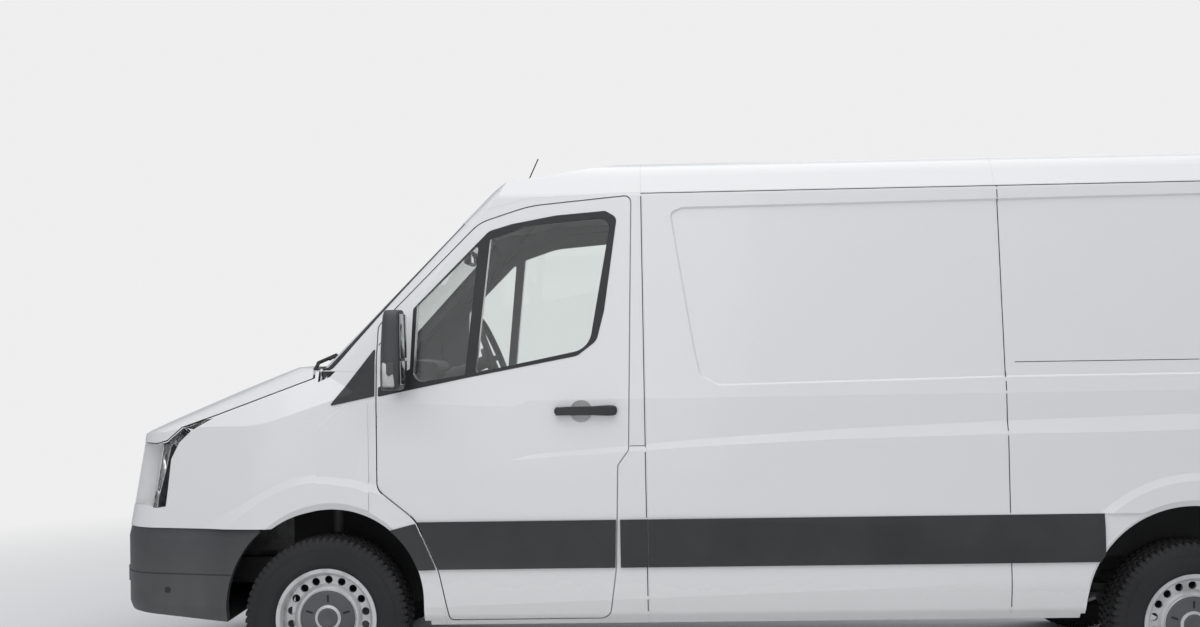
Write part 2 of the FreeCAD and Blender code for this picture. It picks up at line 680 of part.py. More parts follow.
def make_cab_doors():
    blank = SHELL.common(right(DOOR))
    edge = right(grown(DOOR, 1)).cut(right(grown(DOOR, -s.door_flange)))
    door = blank.cut(edge.common(below(s.skin)))
    door = less(door, [right(MAIN_GLASS), right(QUARTER_GLASS)])
    scoop = Part.makeSphere(70, Vector(-848, HALF + 32, 1222))
    keep_pair("cab_door", door.cut(scoop).fuse([hinge_arm(z) for z in CAB_DOOR_AXIS.heights]))
    keep_pair("door_glass", Part.makeCompound([side_pane(MAIN_GLASS), side_pane(QUARTER_GLASS)]))


def make_door_trims():
    """Rubbing strip and pull handle of a cab door."""
    band = strip(-1600, -700).common(right(grown(DOOR, -2)))
    y = HALF - CREASE_DEPTH
    grip = box(-955, -700, y + 18, y + 32, 1207, 1241)
    posts = [box(-955, -925, y - 6, y + 20, 1207, 1241), box(-770, -700, y - 6, y + 20, 1207, 1241)]
    handle = grip.fuse(posts).cut(moved(FORM, y=s.seam))
    keep_pair("door_trim", Part.makeCompound([band, handle]))


def make_mirrors():
    arm = box(-1662, -1592, 930, 1080, 1338, 1378).cut(moved(FORM, y=s.seam))
    profile = [(-1668, 1330, 22), (-1588, 1330, 18), (-1574, 1500, 60), (-1578, 1663, 18), (-1648, 1663, 30)]
    keep_pair("mirror", prism_y(profile, 1032, 1213).fuse(arm))


def strip(x0, x1, proud=0.0):
    """The rubbing strip along the right-hand side, its upper third sloping in."""
    region = box(x0, x1, 700, 1200, s.strip_bottom, s.strip_top)
    outer = HALF + s.strip_thickness
    top = s.strip_top + 1
    above = sharp([(outer - 9, top), (outer + 60, top), (outer + 60, 700), (outer, 700)])
    slope = prism_x(above, x0 - 1, x1 + 1)
    outside = moved(SMOOTH, y=s.strip_thickness).cut(slope)
    return region.common(moved(outside, y=proud)).cut(moved(SMOOTH, y=0.1))


# Load space

def make_side_panels():
    half = s.seam / 2
    middle = SHELL.common(box(s.b_seam + half, s.c_seam - half, 0, 1200, 300, s.roof_seam - s.seam))
    frame = middle.cut(right(grown(SLIDING_DOOR, s.seam)))
    keep_shape("mid_side_panels", Part.makeCompound([mirror(middle), frame]))
    keep_shape("sliding_door", middle.common(right(SLIDING_DOOR)))

    rear = SHELL.common(box(s.c_seam + half, 3000, 0, 1200, 300, s.roof_seam - s.seam))
    band = box(s.c_seam + 1, 2600, 0, 1200, s.strip_top + s.seam, 1300)
    doorway = symmetric([(max(y, 0), z, radius) for y, z, radius in grown(REAR_DOOR, s.shut_gap)])
    rear = flared(rear.cut(prism_x(doorway, 2700, 3000)), "rear", band)
    lamp = prism_x(grown(TAIL_LAMP, s.seam), s.rear_face - 90, 3000)
    rear = rear.cut(lamp.cut(moved(SMOOTH, x=-40, y=-40)))
    lamps = prism_x(TAIL_LAMP, s.rear_face - 90, 3000).common(SHELL).cut(moved(SMOOTH, x=-39.6, y=-39.6))
    keep_shape("tail_lamps", both(lamps))
    x, y = REAR_DOOR_AXIS.x, REAR_DOOR_AXIS.y
    for z, _, root in REAR_HINGES:
        rear = rear.fuse(rod((x, y, z - 42), (x, y, z + 42), 6))
        for low in (z - 42, z + 23):
            knuckle = rod((x, y, low), (x, y, low + 19), 13)
            rear = rear.fuse([knuckle, box(x - 60, x, y - root, y + 9, low, low + 19)])
    keep_shape("rear_side_panels", rear.fuse(mirror(rear)))


def make_rear_doors():
    x, y = REAR_DOOR_AXIS.x, REAR_DOOR_AXIS.y
    leaf = SHELL.common(prism_x(REAR_DOOR, s.rear_face - s.wall, 3000)).cut(prism_x(REAR_GLASS, 2700, 3000))
    for z, edge, _ in REAR_HINGES:
        strap = box(x - 55, x - 6, y - 110, y - edge, z - 22, z + 22)
        eye = rod((x, y, z - 22), (x, y, z + 22), 13)
        strap = strap.fuse([box(x - 12, x + 2, y - edge - 20, y, z - 22, z + 22), eye])
        leaf = leaf.fuse(strap.cut(rod((x, y, z - 30), (x, y, z + 30), 6.05)))
    keep_pair("rear_door", leaf)
    pane = prism_x(grown(REAR_GLASS, -s.glass_fit), 2700, 3000)
    keep_pair("rear_glass", pane.common(moved(FORM, x=-6)).cut(moved(FORM, x=-6 - s.glass)))


def make_floor():
    top, bottom, edge, step_edge = s.floor_top, s.floor_top - s.floor_thickness, HALF - s.wall - 1, 895
    floor = box(-1500, s.rear_face - s.wall - 12, -edge, edge, bottom, top)
    step = box(-1440, s.b_seam, 700, edge + 1, 300, top + 1)
    tread = box(-1440, s.b_seam, 690, step_edge, 372, 400).fuse([
        box(-1440, s.b_seam, 690, 702, 372, bottom + 5),
        box(-1452, -1440, 690, step_edge, 372, bottom + 5),
        box(s.b_seam, s.b_seam + 12, 690, step_edge, 372, bottom + 5)])
    arch = ARCHES["rear"]
    well = room(arch, arch.room_radius, 1000).common(box(0, 3000, arch.inboard, 1000, 0, 1500))
    slope = sharp([(-1954.6, 842), (-1500, top), (-1500, bottom), (-1560, bottom), (-1954.6, 782)])
    beside_doors = box(-1600, s.b_seam, 905, HALF, bottom - 10, top + 200)
    beside_walls = box(s.b_seam, 1000, 915.5, HALF, bottom - 10, top + 200)
    floor = less(floor, [both(step), both(well), both(beside_doors), both(beside_walls)])
    floor = floor.fuse([both(tread), prism_y(slope, -493, 493), liner(arch, 8, bottom - 10)])
    keep_shape("floor", floor)


def make_bumpers():
    front = bumper_form()
    groove = box(-2900, -2240, 700, 1200, BUMPER_GROOVE - 3, BUMPER_GROOVE + 3).cut(drawn_in(front, 5))
    front = less(front, [drawn_in(front, 40), WHEEL_ROOMS["front"], both(groove)])
    beam = box(NOSE + 90, NOSE + 140, -700, 700, 470, 560)
    links = [box(NOSE + 40, NOSE + 95, y, y + 60, 480, 550) for y in (-650, -150, 90, 590)]
    front = front.fuse([beam, *links, rod((NOSE + 50, 300, 515), (NOSE + 140, 300, 515), 22)])
    front = less(front, [rod((NOSE - 60, 300, 515), (NOSE + 110, 300, 515), 12),
                         rod((NOSE - 60, 300, 515), (NOSE + 50, 300, 515), 24)])
    keep_shape("front_bumper", front)
    rearmost, outer = s.rear_face + 23, HALF + 11
    plan = [(2750, -outer, 0), (2750, outer, 0), (rearmost, outer, 70), (rearmost, -outer, 70)]
    rear = prism_z(plan, 326, 480).cut(box(2700, 3000, -893, 893, 396, 500)).cut(moved(FORM, x=0.1))
    rear = less(rear, [box(2700, 2930, -HALF + 50, HALF - 50, 300, 500)])
    keep_shape("rear_bumper", rear)


def make_side_trims():
    """Rubbing strips of the fixed sides and the dark triangles ahead of the door windows."""
    rear_arch = opening(ARCHES["rear"], ARCHES["rear"].radius + 1)
    pieces = [strip(s.b_seam - 118, s.b_seam - 1).cut(right(grown(DOOR, 3))),
              strip(s.b_seam + 1, 1330).cut(rear_arch), strip(2080, 2745).cut(rear_arch)]
    front_arch = opening(ARCHES["front"], ARCHES["front"].radius + 1)
    layer = moved(SMOOTH, y=s.strip_thickness + 4).cut(moved(SMOOTH, y=s.strip_thickness + 0.1))
    behind_arch = right(WING_STRIP).common(layer)
    pieces.append(less(behind_arch, [front_arch, right(grown(DOOR, 9))]))
    triangle = right(TRIANGLE).common(moved(SMOOTH, y=4)).cut(moved(SMOOTH, y=0.1))
    keep_shape("side_trims", both(Part.makeCompound(pieces + [triangle])))


# Cab

COLUMN = SimpleNamespace(top=Vector(-1268, -420, 1450), tilt=math.radians(22))
COLUMN.axis = Vector(math.cos(COLUMN.tilt), 0, math.sin(COLUMN.tilt))
COLUMN.up = Vector(-math.sin(COLUMN.tilt), 0, math.cos(COLUMN.tilt))


def on_column(distance, across=0.0, up=0.0):
    """A point on the steering column's axis, or beside it."""
    return COLUMN.top + COLUMN.axis * distance + Vector(0, across, 0) + COLUMN.up * up


# x, z, corner radius of the dashboard and the hood over the instruments
DASHBOARD = [(-1954, 1365, 0), (-1954, 860, 0), (-1640, 900, 60), (-1510, 1180, 80), (-1560, 1392, 50)]
BINNACLE = [(-1700, 1380, 0), (-1530, 1300, 20), (-1500, 1430, 30), (-1640, 1450, 60)]


def make_dashboard():
    board = prism_y(DASHBOARD, -860, 860)
    binnacle = prism_y(BINNACLE, -600, -240)
    column = Part.makeCylinder(30, 240, on_column(-290), COLUMN.axis)
    column = column.fuse(Part.makeCylinder(12, 240, on_column(-270), COLUMN.axis))
    keep_shape("dashboard", board.fuse([binnacle, column]))


def make_steering_wheel():
    rim = Part.makeTorus(186, 15, on_column(0), COLUMN.axis)
    boss = Part.makeCylinder(62, 34, on_column(-48), COLUMN.axis)
    hub = on_column(-31)
    spokes = []
    for across, up in ((186, 0), (-186, 0), (0, -186)):
        end = on_column(0, across, up)
        spokes.append(Part.makeCylinder(13, (end - hub).Length, hub, end - hub))
    wheel = rim.fuse([boss, *spokes]).cut(Part.makeCylinder(12.05, 100, on_column(-80), COLUMN.axis))
    keep_shape("steering_wheel", wheel)


# x, z, corner radius of a seat from the side
SEAT_CUSHION = [(-1340, 850, 30), (-1350, 990, 50), (-880, 950, 40), (-880, 850, 10)]
SEAT_BACK = [(-975, 900, 30), (-880, 880, 30), (-690, 1560, 40), (-800, 1575, 50)]
HEADREST = [(-795, 1600, 20), (-700, 1590, 20), (-690, 1770, 40), (-770, 1775, 40)]


def seat(y0, y1, heads):
    """A seat of its base, cushion and back, with a headrest on two posts for each place."""
    base = box(-1290, -860, y0 + 50, y1 - 50, s.floor_top, 850)
    pieces = [prism_y(SEAT_CUSHION, y0, y1), prism_y(SEAT_BACK, y0, y1)]
    for y in heads:
        pieces.append(prism_y(HEADREST, y - 130, y + 130))
        pieces += [rod((-765, y + side * 60, 1500), (-748, y + side * 60, 1640), 6) for side in (1, -1)]
    return base.fuse(pieces)


def make_seats():
    keep_shape("seats", Part.makeCompound([seat(-680, -160, (-420,)), seat(0, 830, (215, 615))]))


# Chassis and running gear

JACK_POINTS = [(x, side) for x in (-1250, 950) for side in (1, -1)]


def make_chassis_rails():
    rail_height = "floor_top - floor_thickness - rail_bottom"
    length = "overall_length - 280"
    rails = [block(f"rail_{i}", (NOSE + 160, y, "rail_bottom"), length, "rail_width", rail_height)
             for i, y in enumerate(("rail_inner", "-rail_inner - rail_width"))]
    crossbars = [block(f"crossbar_{i}", (x, "-rail_inner", "rail_bottom + 65"), 60, "2 * rail_inner", 35)
                 for i, x in enumerate((-2785, -1300, -520, 700, 2600))]
    sockets = [bar(f"jack_socket_{i}", (x, f"{side} * (rail_inner + rail_width / 2)", "rail_bottom - 1"),
                   (0, 0, 1), 12.5, 41) for i, (x, side) in enumerate(JACK_POINTS)]
    frame = united("rail_frame", rails + crossbars)
    keep("chassis_rails", cut("chassis_rails", frame, united("jack_sockets", sockets)), on_body=True)


def make_radiator():
    core = block("radiator_core", (-2785, -300, "rail_bottom + 110"), 35, 600, 430)
    tanks = [block(f"radiator_tank_{i}", (-2790, y, "rail_bottom + 100.3"), 45, 60, 450)
             for i, y in enumerate((-360, 300))]
    keep("radiator", united("radiator", [core, *tanks]), on_body=True)


def make_engine():
    engine = block("engine", (-2640, -270, 400), 600, 540, 620)
    gearbox = bar("gearbox", (-2041, 0, 540), (1, 0, -0.15), 110, 330)
    mounts = block("engine_mounts", (-2400, "-rail_inner", 500), 80, "2 * rail_inner", 50)
    keep("engine_block", united("engine_block", [engine, gearbox, mounts]), on_body=True)


def make_tank():
    tank = block("tank", (-350, -850, 335), 700, 340, "floor_top - floor_thickness - 335")
    edges = DOC.addObject("Part::Fillet", "fuel_tank")
    edges.Base = tank
    DOC.recompute()
    lower = [i for i, edge in enumerate(tank.Shape.Edges, 1) if edge.BoundBox.ZMax < 340]
    edges.Edges = [(i, 40, 40) for i in lower]
    keep("fuel_tank", edges, on_body=True)


def make_exhaust():
    runs = [
        bar("exhaust_down", (-1900, 270, 520), (1, 0.2, -0.5), 30, 260),
        bar("exhaust_front", (-1690, 330, 400), (1, 0, 0), 30, 1840),
        bar("exhaust_cross", (130, 330, 400), (0, 1, 0), 30, 300),
        bar("silencer", (110, 620, 400), (1, 0, 0), 95, 620),
        bar("exhaust_tail", (720, 620, 400), (1, 0, 0), 26, 420),
    ]
    hangers = [block(f"hanger_{i}", (x, 560, 480), 30, 60, "floor_top - floor_thickness - 480")
               for i, x in enumerate((180, 620))]
    keep("exhaust", united("exhaust", runs + hangers), on_body=True)


def on_ground(x, z):
    """A point of the body frame, set down on the ground."""
    point = SET_DOWN.multVec(Vector(x, 0, z))
    return point.x, point.z


def make_propshaft():
    x, z = on_ground(-1710, 488)
    end = Vector(REAR_AXLE - 139.9, 0, s.tyre_radius + 10)
    start = Vector(x, 0, z)
    keep("propshaft", bar("propshaft", tuple(start), tuple(end - start), 38, (end - start).Length))


def make_rear_axle():
    beam = bar("axle_beam", (REAR_AXLE, -745, "tyre_radius"), (0, 1, 0), 48, 1490)
    spindles = bar("rear_spindles", (REAR_AXLE, "-track_rear / 2 - 40", "tyre_radius"), (0, 1, 0),
                   "spindle_radius", "track_rear + 80")
    casing = primitive("Part::Sphere", "axle_casing", (REAR_AXLE, 0, "tyre_radius"), (0, 0, 1),
                       {"Radius": 140})
    keep("rear_axle", united("rear_axle", [beam, spindles, casing]))


def make_leaf_springs():
    """A leaf on each side, from its front eye over the axle to its rear shackle."""
    y0, y1 = 500, 570
    front, rear = on_ground(1010, 440), on_ground(2430, 440)
    top, bottom = s.tyre_radius + 80, s.tyre_radius + 48.3
    leaf = prism_y([(front[0], front[1] + 15, 0), (REAR_AXLE, top, 3000), (rear[0], rear[1] + 15, 0),
                    (rear[0], rear[1] - 15, 0), (REAR_AXLE, bottom, 3000), (front[0], front[1] - 15, 0)],
                   y0, y1)
    for body_x, (x, z) in ((1010, front), (2430, rear)):
        outline_xz = [(body_x - 45, 549.8, 0), (body_x + 45, 549.8, 0), (body_x + 30, 400, 29),
                      (body_x - 30, 400, 29)]
        hanger = prism_y(outline_xz, y0 - 19.8, y1)
        hanger.Placement = SET_DOWN
        leaf = leaf.fuse(hanger)
    saddle = box(REAR_AXLE - 60, REAR_AXLE + 60, y0, y1, s.tyre_radius + 20, s.tyre_radius + 100)
    saddle = saddle.cut(rod((REAR_AXLE, 0, s.tyre_radius), (REAR_AXLE, 800, s.tyre_radius), 48.3))
    keep_shape("leaf_springs", both(leaf.fuse(saddle)), on_body=False)


def make_front_suspension():
    """Subframe, lower arms and struts; the knuckles turn between ball pin and strut."""
    x = FRONT_AXLE
    pieces = [
        block("subframe", (x - 60, "-rail_inner - rail_width", 262), 120,
              "2 * (rail_inner + rail_width)", 60),
    ]
    for name, side in (("right", 1), ("left", -1)):
        inner = (lambda low, width: low if side > 0 else f"-({low}) - ({width})")
        pieces += [
            block(f"post_{name}", (x - 50, inner("rail_inner", "rail_width"), 262), 100, "rail_width",
                  "rail_bottom - 263.2"),
            block(f"arm_{name}", (x - 35, inner("rail_inner", "kingpin - rail_inner + 25"), 195), 70,
                  "kingpin - rail_inner + 25", 28),
            block(f"drop_{name}", (x - 35, inner("rail_inner", "30"), 195), 70, 30, 80),
            bar(f"ball_pin_{name}", (x, f"{side} * kingpin", 200), (0, 0, 1), 12, 62),
            bar(f"strut_pin_{name}", (x, f"{side} * kingpin", 480), (0, 0, 1), 12, 60),
            bar(f"strut_{name}", (x, f"{side} * kingpin", 523), (0, 0, 1), 26, 305.4),
        ]
    keep("front_suspension", united("front_suspension", pieces))


def make_knuckles():
    x = FRONT_AXLE
    upright = block("upright", (x - 42, "kingpin - 28", 227), 84, 54, 289)
    spindle = bar("front_spindle", (x, "kingpin + 20", "tyre_radius"), (0, 1, 0), "spindle_radius",
                  "track_front / 2 - kingpin + 20")
    bores = [bar(f"kingpin_bore_{z}", (x, "kingpin", z), (0, 0, 1), 12.05, 46) for z in (220, 476)]
    body = united("knuckle_body", [upright, spindle])
    knuckle = cut("knuckle_right", body, united("kingpin_bores", bores))
    keep("knuckle_right", knuckle)
    keep("knuckle_left", mirrored("knuckle_left", knuckle))


# Wheels, (radius, distance outboard of the wheel's middle, corner radius)

RIM = [
    (203, -84, 0), (203, 84, 6), (209, 92, 0), (s.rim_radius, 92, 0), (s.rim_radius, 98, 0), (200, 98, 4),
    (191, 84, 6), (188, 60, 4), (182, 50, 4), (148, 46, 6), (132, 58, 6), (123, 58, 4), (112, 66, 10),
    (60, 60, 10), (42, 66, 4), (s.spindle_radius + 0.05, 66, 0), (s.spindle_radius + 0.05, -60, 0),
    (60, -60, 4), (60, 44, 6), (110, 50, 6), (130, 42, 6), (148, 30, 6), (180, 34, 6), (182, -40, 6),
    (191, -84, 6), (200, -98, 4), (s.rim_radius, -98, 0), (s.rim_radius, -92, 0), (209, -92, 0),
]
TYRE = [
    (203.3, -83, 0), (203.3, 83, 0), (216, 90, 5), (223, 104, 8), (275, s.tyre_width / 2, 40), (318, 112, 30),
    (s.tyre_radius, 96, 16), (s.tyre_radius, -96, 16), (318, -112, 30), (275, -s.tyre_width / 2, 40),
    (223, -104, 8), (216, -90, 5),
]


def turned(section):
    """A section of radius and distance, turned about the wheel's axle."""
    wire = outline(section, lambda p: Vector(p.x, p.y, 0))
    return Part.Face(wire).revolve(Vector(), Vector(0, 1, 0), 360)


def make_wheels():
    step = 360 / s.vent_count
    vents = []
    for i in range(round(s.vent_count)):
        angle = math.radians((i + 0.5) * step)
        centre = Vector(s.vent_circle * math.cos(angle), 10, s.vent_circle * math.sin(angle))
        vents.append(Part.makeCylinder(s.vent_radius, 70, centre, Vector(0, 1, 0)))
    rim, tyre = less(turned(RIM), vents), turned(TYRE)
    for axle, x, track in (("front", FRONT_AXLE, s.track_front), ("rear", REAR_AXLE, s.track_rear)):
        for shape, name in ((rim, "wheel"), (tyre, "tyre")):
            placed = moved(shape, x, track / 2, s.tyre_radius)
            right_one = keep_shape(f"{name}_{axle}_right", placed, on_body=False)
            keep(f"{name}_{axle}_left", mirrored(f"{name}_{axle}_left", right_one))


STEPS = [
    make_roof, make_cab_frame, make_wings, make_front, make_bonnet, make_windscreen, make_cab_doors,
    make_door_trims, make_mirrors, make_side_panels, make_rear_doors, make_floor, make_bumpers,
    make_side_trims, make_dashboard, make_steering_wheel, make_seats, make_chassis_rails, make_radiator,
    make_engine, make_tank, make_exhaust, make_propshaft, make_rear_axle, make_leaf_springs,
    make_front_suspension, make_knuckles, make_wheels,
]


def write_parts():
    DOC.recompute()
    for item in DOC.Objects:
        if "Invalid" in item.State or "Error" in item.State:
            raise RuntimeError(f"{item.Name} failed: {item.State}")
    os.makedirs("parts", exist_ok=True)
    for name, item in PARTS.items():
        shape = item.Shape
        if shape.isNull() or not shape.isValid() or not shape.Solids:
            raise RuntimeError(f"{name} is not sound")
        shape.exportStep(f"parts/{name}.step")
        print(f"{name:20} solids {len(shape.Solids)}  {shape.Volume / 1e6:8.2f} litres")


for step in STEPS:
    step()
write_parts()
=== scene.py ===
"""Looks of a white panel van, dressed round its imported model."""

import json
import logging
import math
from dataclasses import dataclass, field
from enum import Enum
from typing import Any, Callable, Iterable, Optional, Sequence

import bmesh
import bpy
from mathutils import Matrix, Vector
from mathutils.bvhtree import BVHTree

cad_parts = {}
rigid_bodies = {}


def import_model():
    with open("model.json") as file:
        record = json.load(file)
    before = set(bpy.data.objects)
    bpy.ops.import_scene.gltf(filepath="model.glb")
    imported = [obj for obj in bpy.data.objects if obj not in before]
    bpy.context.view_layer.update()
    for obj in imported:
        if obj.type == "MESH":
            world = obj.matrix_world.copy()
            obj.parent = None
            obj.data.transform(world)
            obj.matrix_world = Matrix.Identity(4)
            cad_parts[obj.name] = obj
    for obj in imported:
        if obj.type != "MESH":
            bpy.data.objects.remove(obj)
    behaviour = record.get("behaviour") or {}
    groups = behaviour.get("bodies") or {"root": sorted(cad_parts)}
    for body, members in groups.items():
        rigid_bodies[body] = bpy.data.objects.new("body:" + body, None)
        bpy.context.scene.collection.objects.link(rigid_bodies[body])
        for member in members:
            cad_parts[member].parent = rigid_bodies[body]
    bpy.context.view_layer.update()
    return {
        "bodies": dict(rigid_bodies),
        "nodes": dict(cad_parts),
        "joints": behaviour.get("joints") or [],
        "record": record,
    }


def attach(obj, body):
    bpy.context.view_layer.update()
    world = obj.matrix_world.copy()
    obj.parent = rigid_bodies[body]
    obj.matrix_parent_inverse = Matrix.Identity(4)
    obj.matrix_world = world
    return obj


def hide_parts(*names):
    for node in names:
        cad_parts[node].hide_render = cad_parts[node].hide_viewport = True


LOG = logging.getLogger("van")
Colour = tuple[float, float, float]
Point2 = tuple[float, float]
Point3 = tuple[float, float, float]
Placer = Callable[[float, float, float], Vector]


# Shader values


class Signal:
    """A shader socket that Python arithmetic acts on."""

    def __init__(self, graph: "Graph", socket: bpy.types.NodeSocket) -> None:
        """Wraps a socket.

        Args:
            graph: The node tree that the socket is in.
            socket: An output socket.
        """
        self.graph = graph
        self.socket = socket

    def _math(self, operation: str, first: Any, second: Any) -> "Signal":
        """Adds a Math node.

        Args:
            operation: The node's operation.
            first: A signal or number.
            second: A signal or number.

        Returns:
            The node's result.
        """
        return self.graph.node("ShaderNodeMath", {"operation": operation}, {0: first, 1: second})

    def __add__(self, other: Any) -> "Signal":
        """Sum with a signal or number."""
        return self._math("ADD", self, other)

    __radd__ = __add__

    def __mul__(self, other: Any) -> "Signal":
        """Product with a signal or number."""
        return self._math("MULTIPLY", self, other)

    __rmul__ = __mul__

    def __sub__(self, other: Any) -> "Signal":
        """Difference with a signal or number."""
        return self._math("SUBTRACT", self, other)

    def __rsub__(self, other: Any) -> "Signal":
        """Difference from a number."""
        return self._math("SUBTRACT", other, self)

    def clipped(self, low: float, high: float) -> "Signal":
        """The signal mapped from low..high to 0..1 and held there.

        Args:
            low: The value that becomes 0.
            high: The value that becomes 1.

        Returns:
            The mapped signal.
        """
        settings = {"clamp": True}
        inputs = {"Value": self, "From Min": low, "From Max": high}
        return self.graph.node("ShaderNodeMapRange", settings, inputs)

    def size(self) -> "Signal":
        """The signal without its sign."""
        return self._math("ABSOLUTE", self, 0.0)

    def sign(self) -> "Signal":
        """-1, 0 or 1 by the signal's sign."""
        return self._math("SIGN", self, 0.0)

    def larger(self, other: Any) -> "Signal":
        """The larger of the signal and another."""
        return self._math("MAXIMUM", self, other)

    def smaller(self, other: Any) -> "Signal":
        """The smaller of the signal and another."""
        return self._math("MINIMUM", self, other)

    def within(self, low: float, high: float, blur: float = 0.002) -> "Signal":
        """1 between two values, 0 outside them.

        Args:
            low: The lower value.
            high: The higher value.
            blur: Width of the change between 0 and 1.

        Returns:
            The mask.
        """
        return self.clipped(low - blur, low + blur).smaller(1.0 - self.clipped(high - blur, high + blur))


class Graph:
    """A material's node tree."""

    def __init__(self, name: str) -> None:
        """Starts an empty material.

        Args:
            name: The material's name.
        """
        self.material = bpy.data.materials.new(name)
        self.material.use_nodes = True
        self.tree = self.material.node_tree
        self.tree.nodes.clear()

    def node(
        self, kind: str, settings: Optional[dict] = None, inputs: Optional[dict] = None, out: Any = 0
    ) -> Signal:
        """Adds a node.

        Args:
            kind: The node's type.
            settings: Its properties; "stops" gives a ramp's positions and colours.
            inputs: Values or signals by socket name or number.
            out: The output socket's name or number.

        Returns:
            The chosen output.
        """
        made = self.tree.nodes.new(kind)
        for key, value in (settings or {}).items():
            if key == "stops":
                self._fill_ramp(made.color_ramp, value)
            else:
                setattr(made, key, value)
        for key, value in (inputs or {}).items():
            if isinstance(value, Signal):
                self.tree.links.new(value.socket, made.inputs[key])
            else:
                made.inputs[key].default_value = value
        return Signal(self, made.outputs[out])

    @staticmethod
    def _fill_ramp(ramp: bpy.types.ColorRamp, stops: Sequence[tuple[float, Colour]]) -> None:
        """Sets a ramp's stops.

        Args:
            ramp: The ramp.
            stops: Positions with their colours, in order.
        """
        while len(ramp.elements) < len(stops):
            ramp.elements.new(1.0)
        for element, (position, colour) in zip(ramp.elements, stops):
            element.position = position
            element.color = (*colour, 1.0)

    def place(self) -> Signal:
        """Position on the object, in metres."""
        return self.node("ShaderNodeTexCoord", out="Object")

    def height(self) -> Signal:
        """Height above the object's origin, in metres."""
        return self.axis("Z")

    def axis(self, name: str) -> Signal:
        """One coordinate of the place on the object, in metres."""
        return self.node("ShaderNodeSeparateXYZ", {}, {0: self.place()}, out=name)

    def facing(self, name: str) -> Signal:
        """How far the surface faces along one of the object's axes, -1 to 1."""
        normal = self.node("ShaderNodeTexCoord", out="Normal")
        return self.node("ShaderNodeSeparateXYZ", {}, {0: normal}, out=name)

    def noise(self, scale: float, detail: float = 3.0, stretch: Optional[Point3] = None) -> Signal:
        """Soft noise over the object.

        Args:
            scale: Waves per metre.
            detail: Octaves.
            stretch: Factors along the axes, if it isn't even.

        Returns:
            A value about 0.5.
        """
        place = self.place()
        if stretch:
            place = self.node("ShaderNodeMapping", {}, {"Vector": place, "Scale": stretch})
        return self.node("ShaderNodeTexNoise", {}, {"Vector": place, "Scale": scale, "Detail": detail})

    def mixed(self, factor: Any, first: Any, second: Any) -> Signal:
        """A colour between two.

        Args:
            factor: 0 for the first, 1 for the second.
            first: A colour or signal.
            second: A colour or signal.

        Returns:
            The mixed colour.
        """
        first, second = [value if isinstance(value, Signal) else (*value, 1.0) for value in (first, second)]
        settings = {"data_type": "RGBA"}
        return self.node("ShaderNodeMix", settings, {"Factor": factor, 6: first, 7: second}, out=2)

    def bump(self, height: Signal, depth: float, normal: Optional[Signal] = None) -> Signal:
        """A bumped normal.

        Args:
            height: The relief.
            depth: Its depth in metres.
            normal: A normal to start from.

        Returns:
            The normal.
        """
        inputs = {"Height": height, "Distance": depth}
        if normal:
            inputs["Normal"] = normal
        return self.node("ShaderNodeBump", {}, inputs)

    def finish(self, **sockets: Any) -> bpy.types.Material:
        """Adds the shader and the output.

        Args:
            **sockets: The shader's sockets, with underscores for spaces.

        Returns:
            The material.
        """
        inputs = {key.replace("_", " "): value for key, value in sockets.items()}
        shader = self.node("ShaderNodeBsdfPrincipled", {}, inputs)
        self.node_output(shader)
        return self.material

    def node_output(self, shader: Signal) -> None:
        """Links a shader to the material's surface.

        Args:
            shader: The shader.
        """
        output = self.tree.nodes.new("ShaderNodeOutputMaterial")
        self.tree.links.new(shader.socket, output.inputs["Surface"])


# Finishes


@dataclass(frozen=True)
class Paint:
    """Glossy body paint with a film of road dust low down."""

    name: str
    colour: Colour
    dusty_to: float = 0.75

    def layers(self, graph: Graph) -> tuple[Signal, Signal, Signal]:
        """The paint's colour, roughness and normal.

        Args:
            graph: The material's node tree.

        Returns:
            The three signals.
        """
        cloud = graph.noise(2.2, 5.0)
        low = 1.0 - graph.height().clipped(0.25, self.dusty_to)
        streaks = graph.noise(14.0, 5.0, (1.0, 1.0, 0.22))
        dust = low * low * (0.2 + 0.5 * cloud + 0.4 * streaks)
        deep = tuple(0.965 * part for part in self.colour)
        tone = graph.mixed(graph.noise(0.9, 2.0), deep, self.colour)
        base = graph.mixed(dust * 0.42, tone, (0.42, 0.41, 0.39))
        peel = graph.noise(420.0, 1.0)
        return base, 0.2 + 0.05 * cloud + 0.3 * dust, graph.bump(peel, 0.00004)

    def build(self) -> bpy.types.Material:
        """The material."""
        graph = Graph(self.name)
        base, rough, normal = self.layers(graph)
        return graph.finish(Base_Color=base, Roughness=rough, Coat_Weight=0.5, Coat_Roughness=0.06, IOR=1.5,
                            Normal=normal)


@dataclass(frozen=True)
class Zone:
    """A box on both sides of the body that has another finish but on the outer skin, by place in metres."""

    along: Point2
    across: Point2
    up: Point2

    def mask(self, graph: Graph) -> Signal:
        """1 inside the zone.

        Args:
            graph: The material's node tree.

        Returns:
            The mask.
        """
        reach = graph.axis("Y").size()
        inside = graph.axis("X").within(*self.along).smaller(reach.within(*self.across))
        inside = inside.smaller(graph.height().within(*self.up))
        outward = graph.facing("Y") * graph.axis("Y").sign()
        skin = outward.clipped(0.4, 0.5).smaller(reach.clipped(0.79, 0.8))
        return inside.smaller(1.0 - skin)


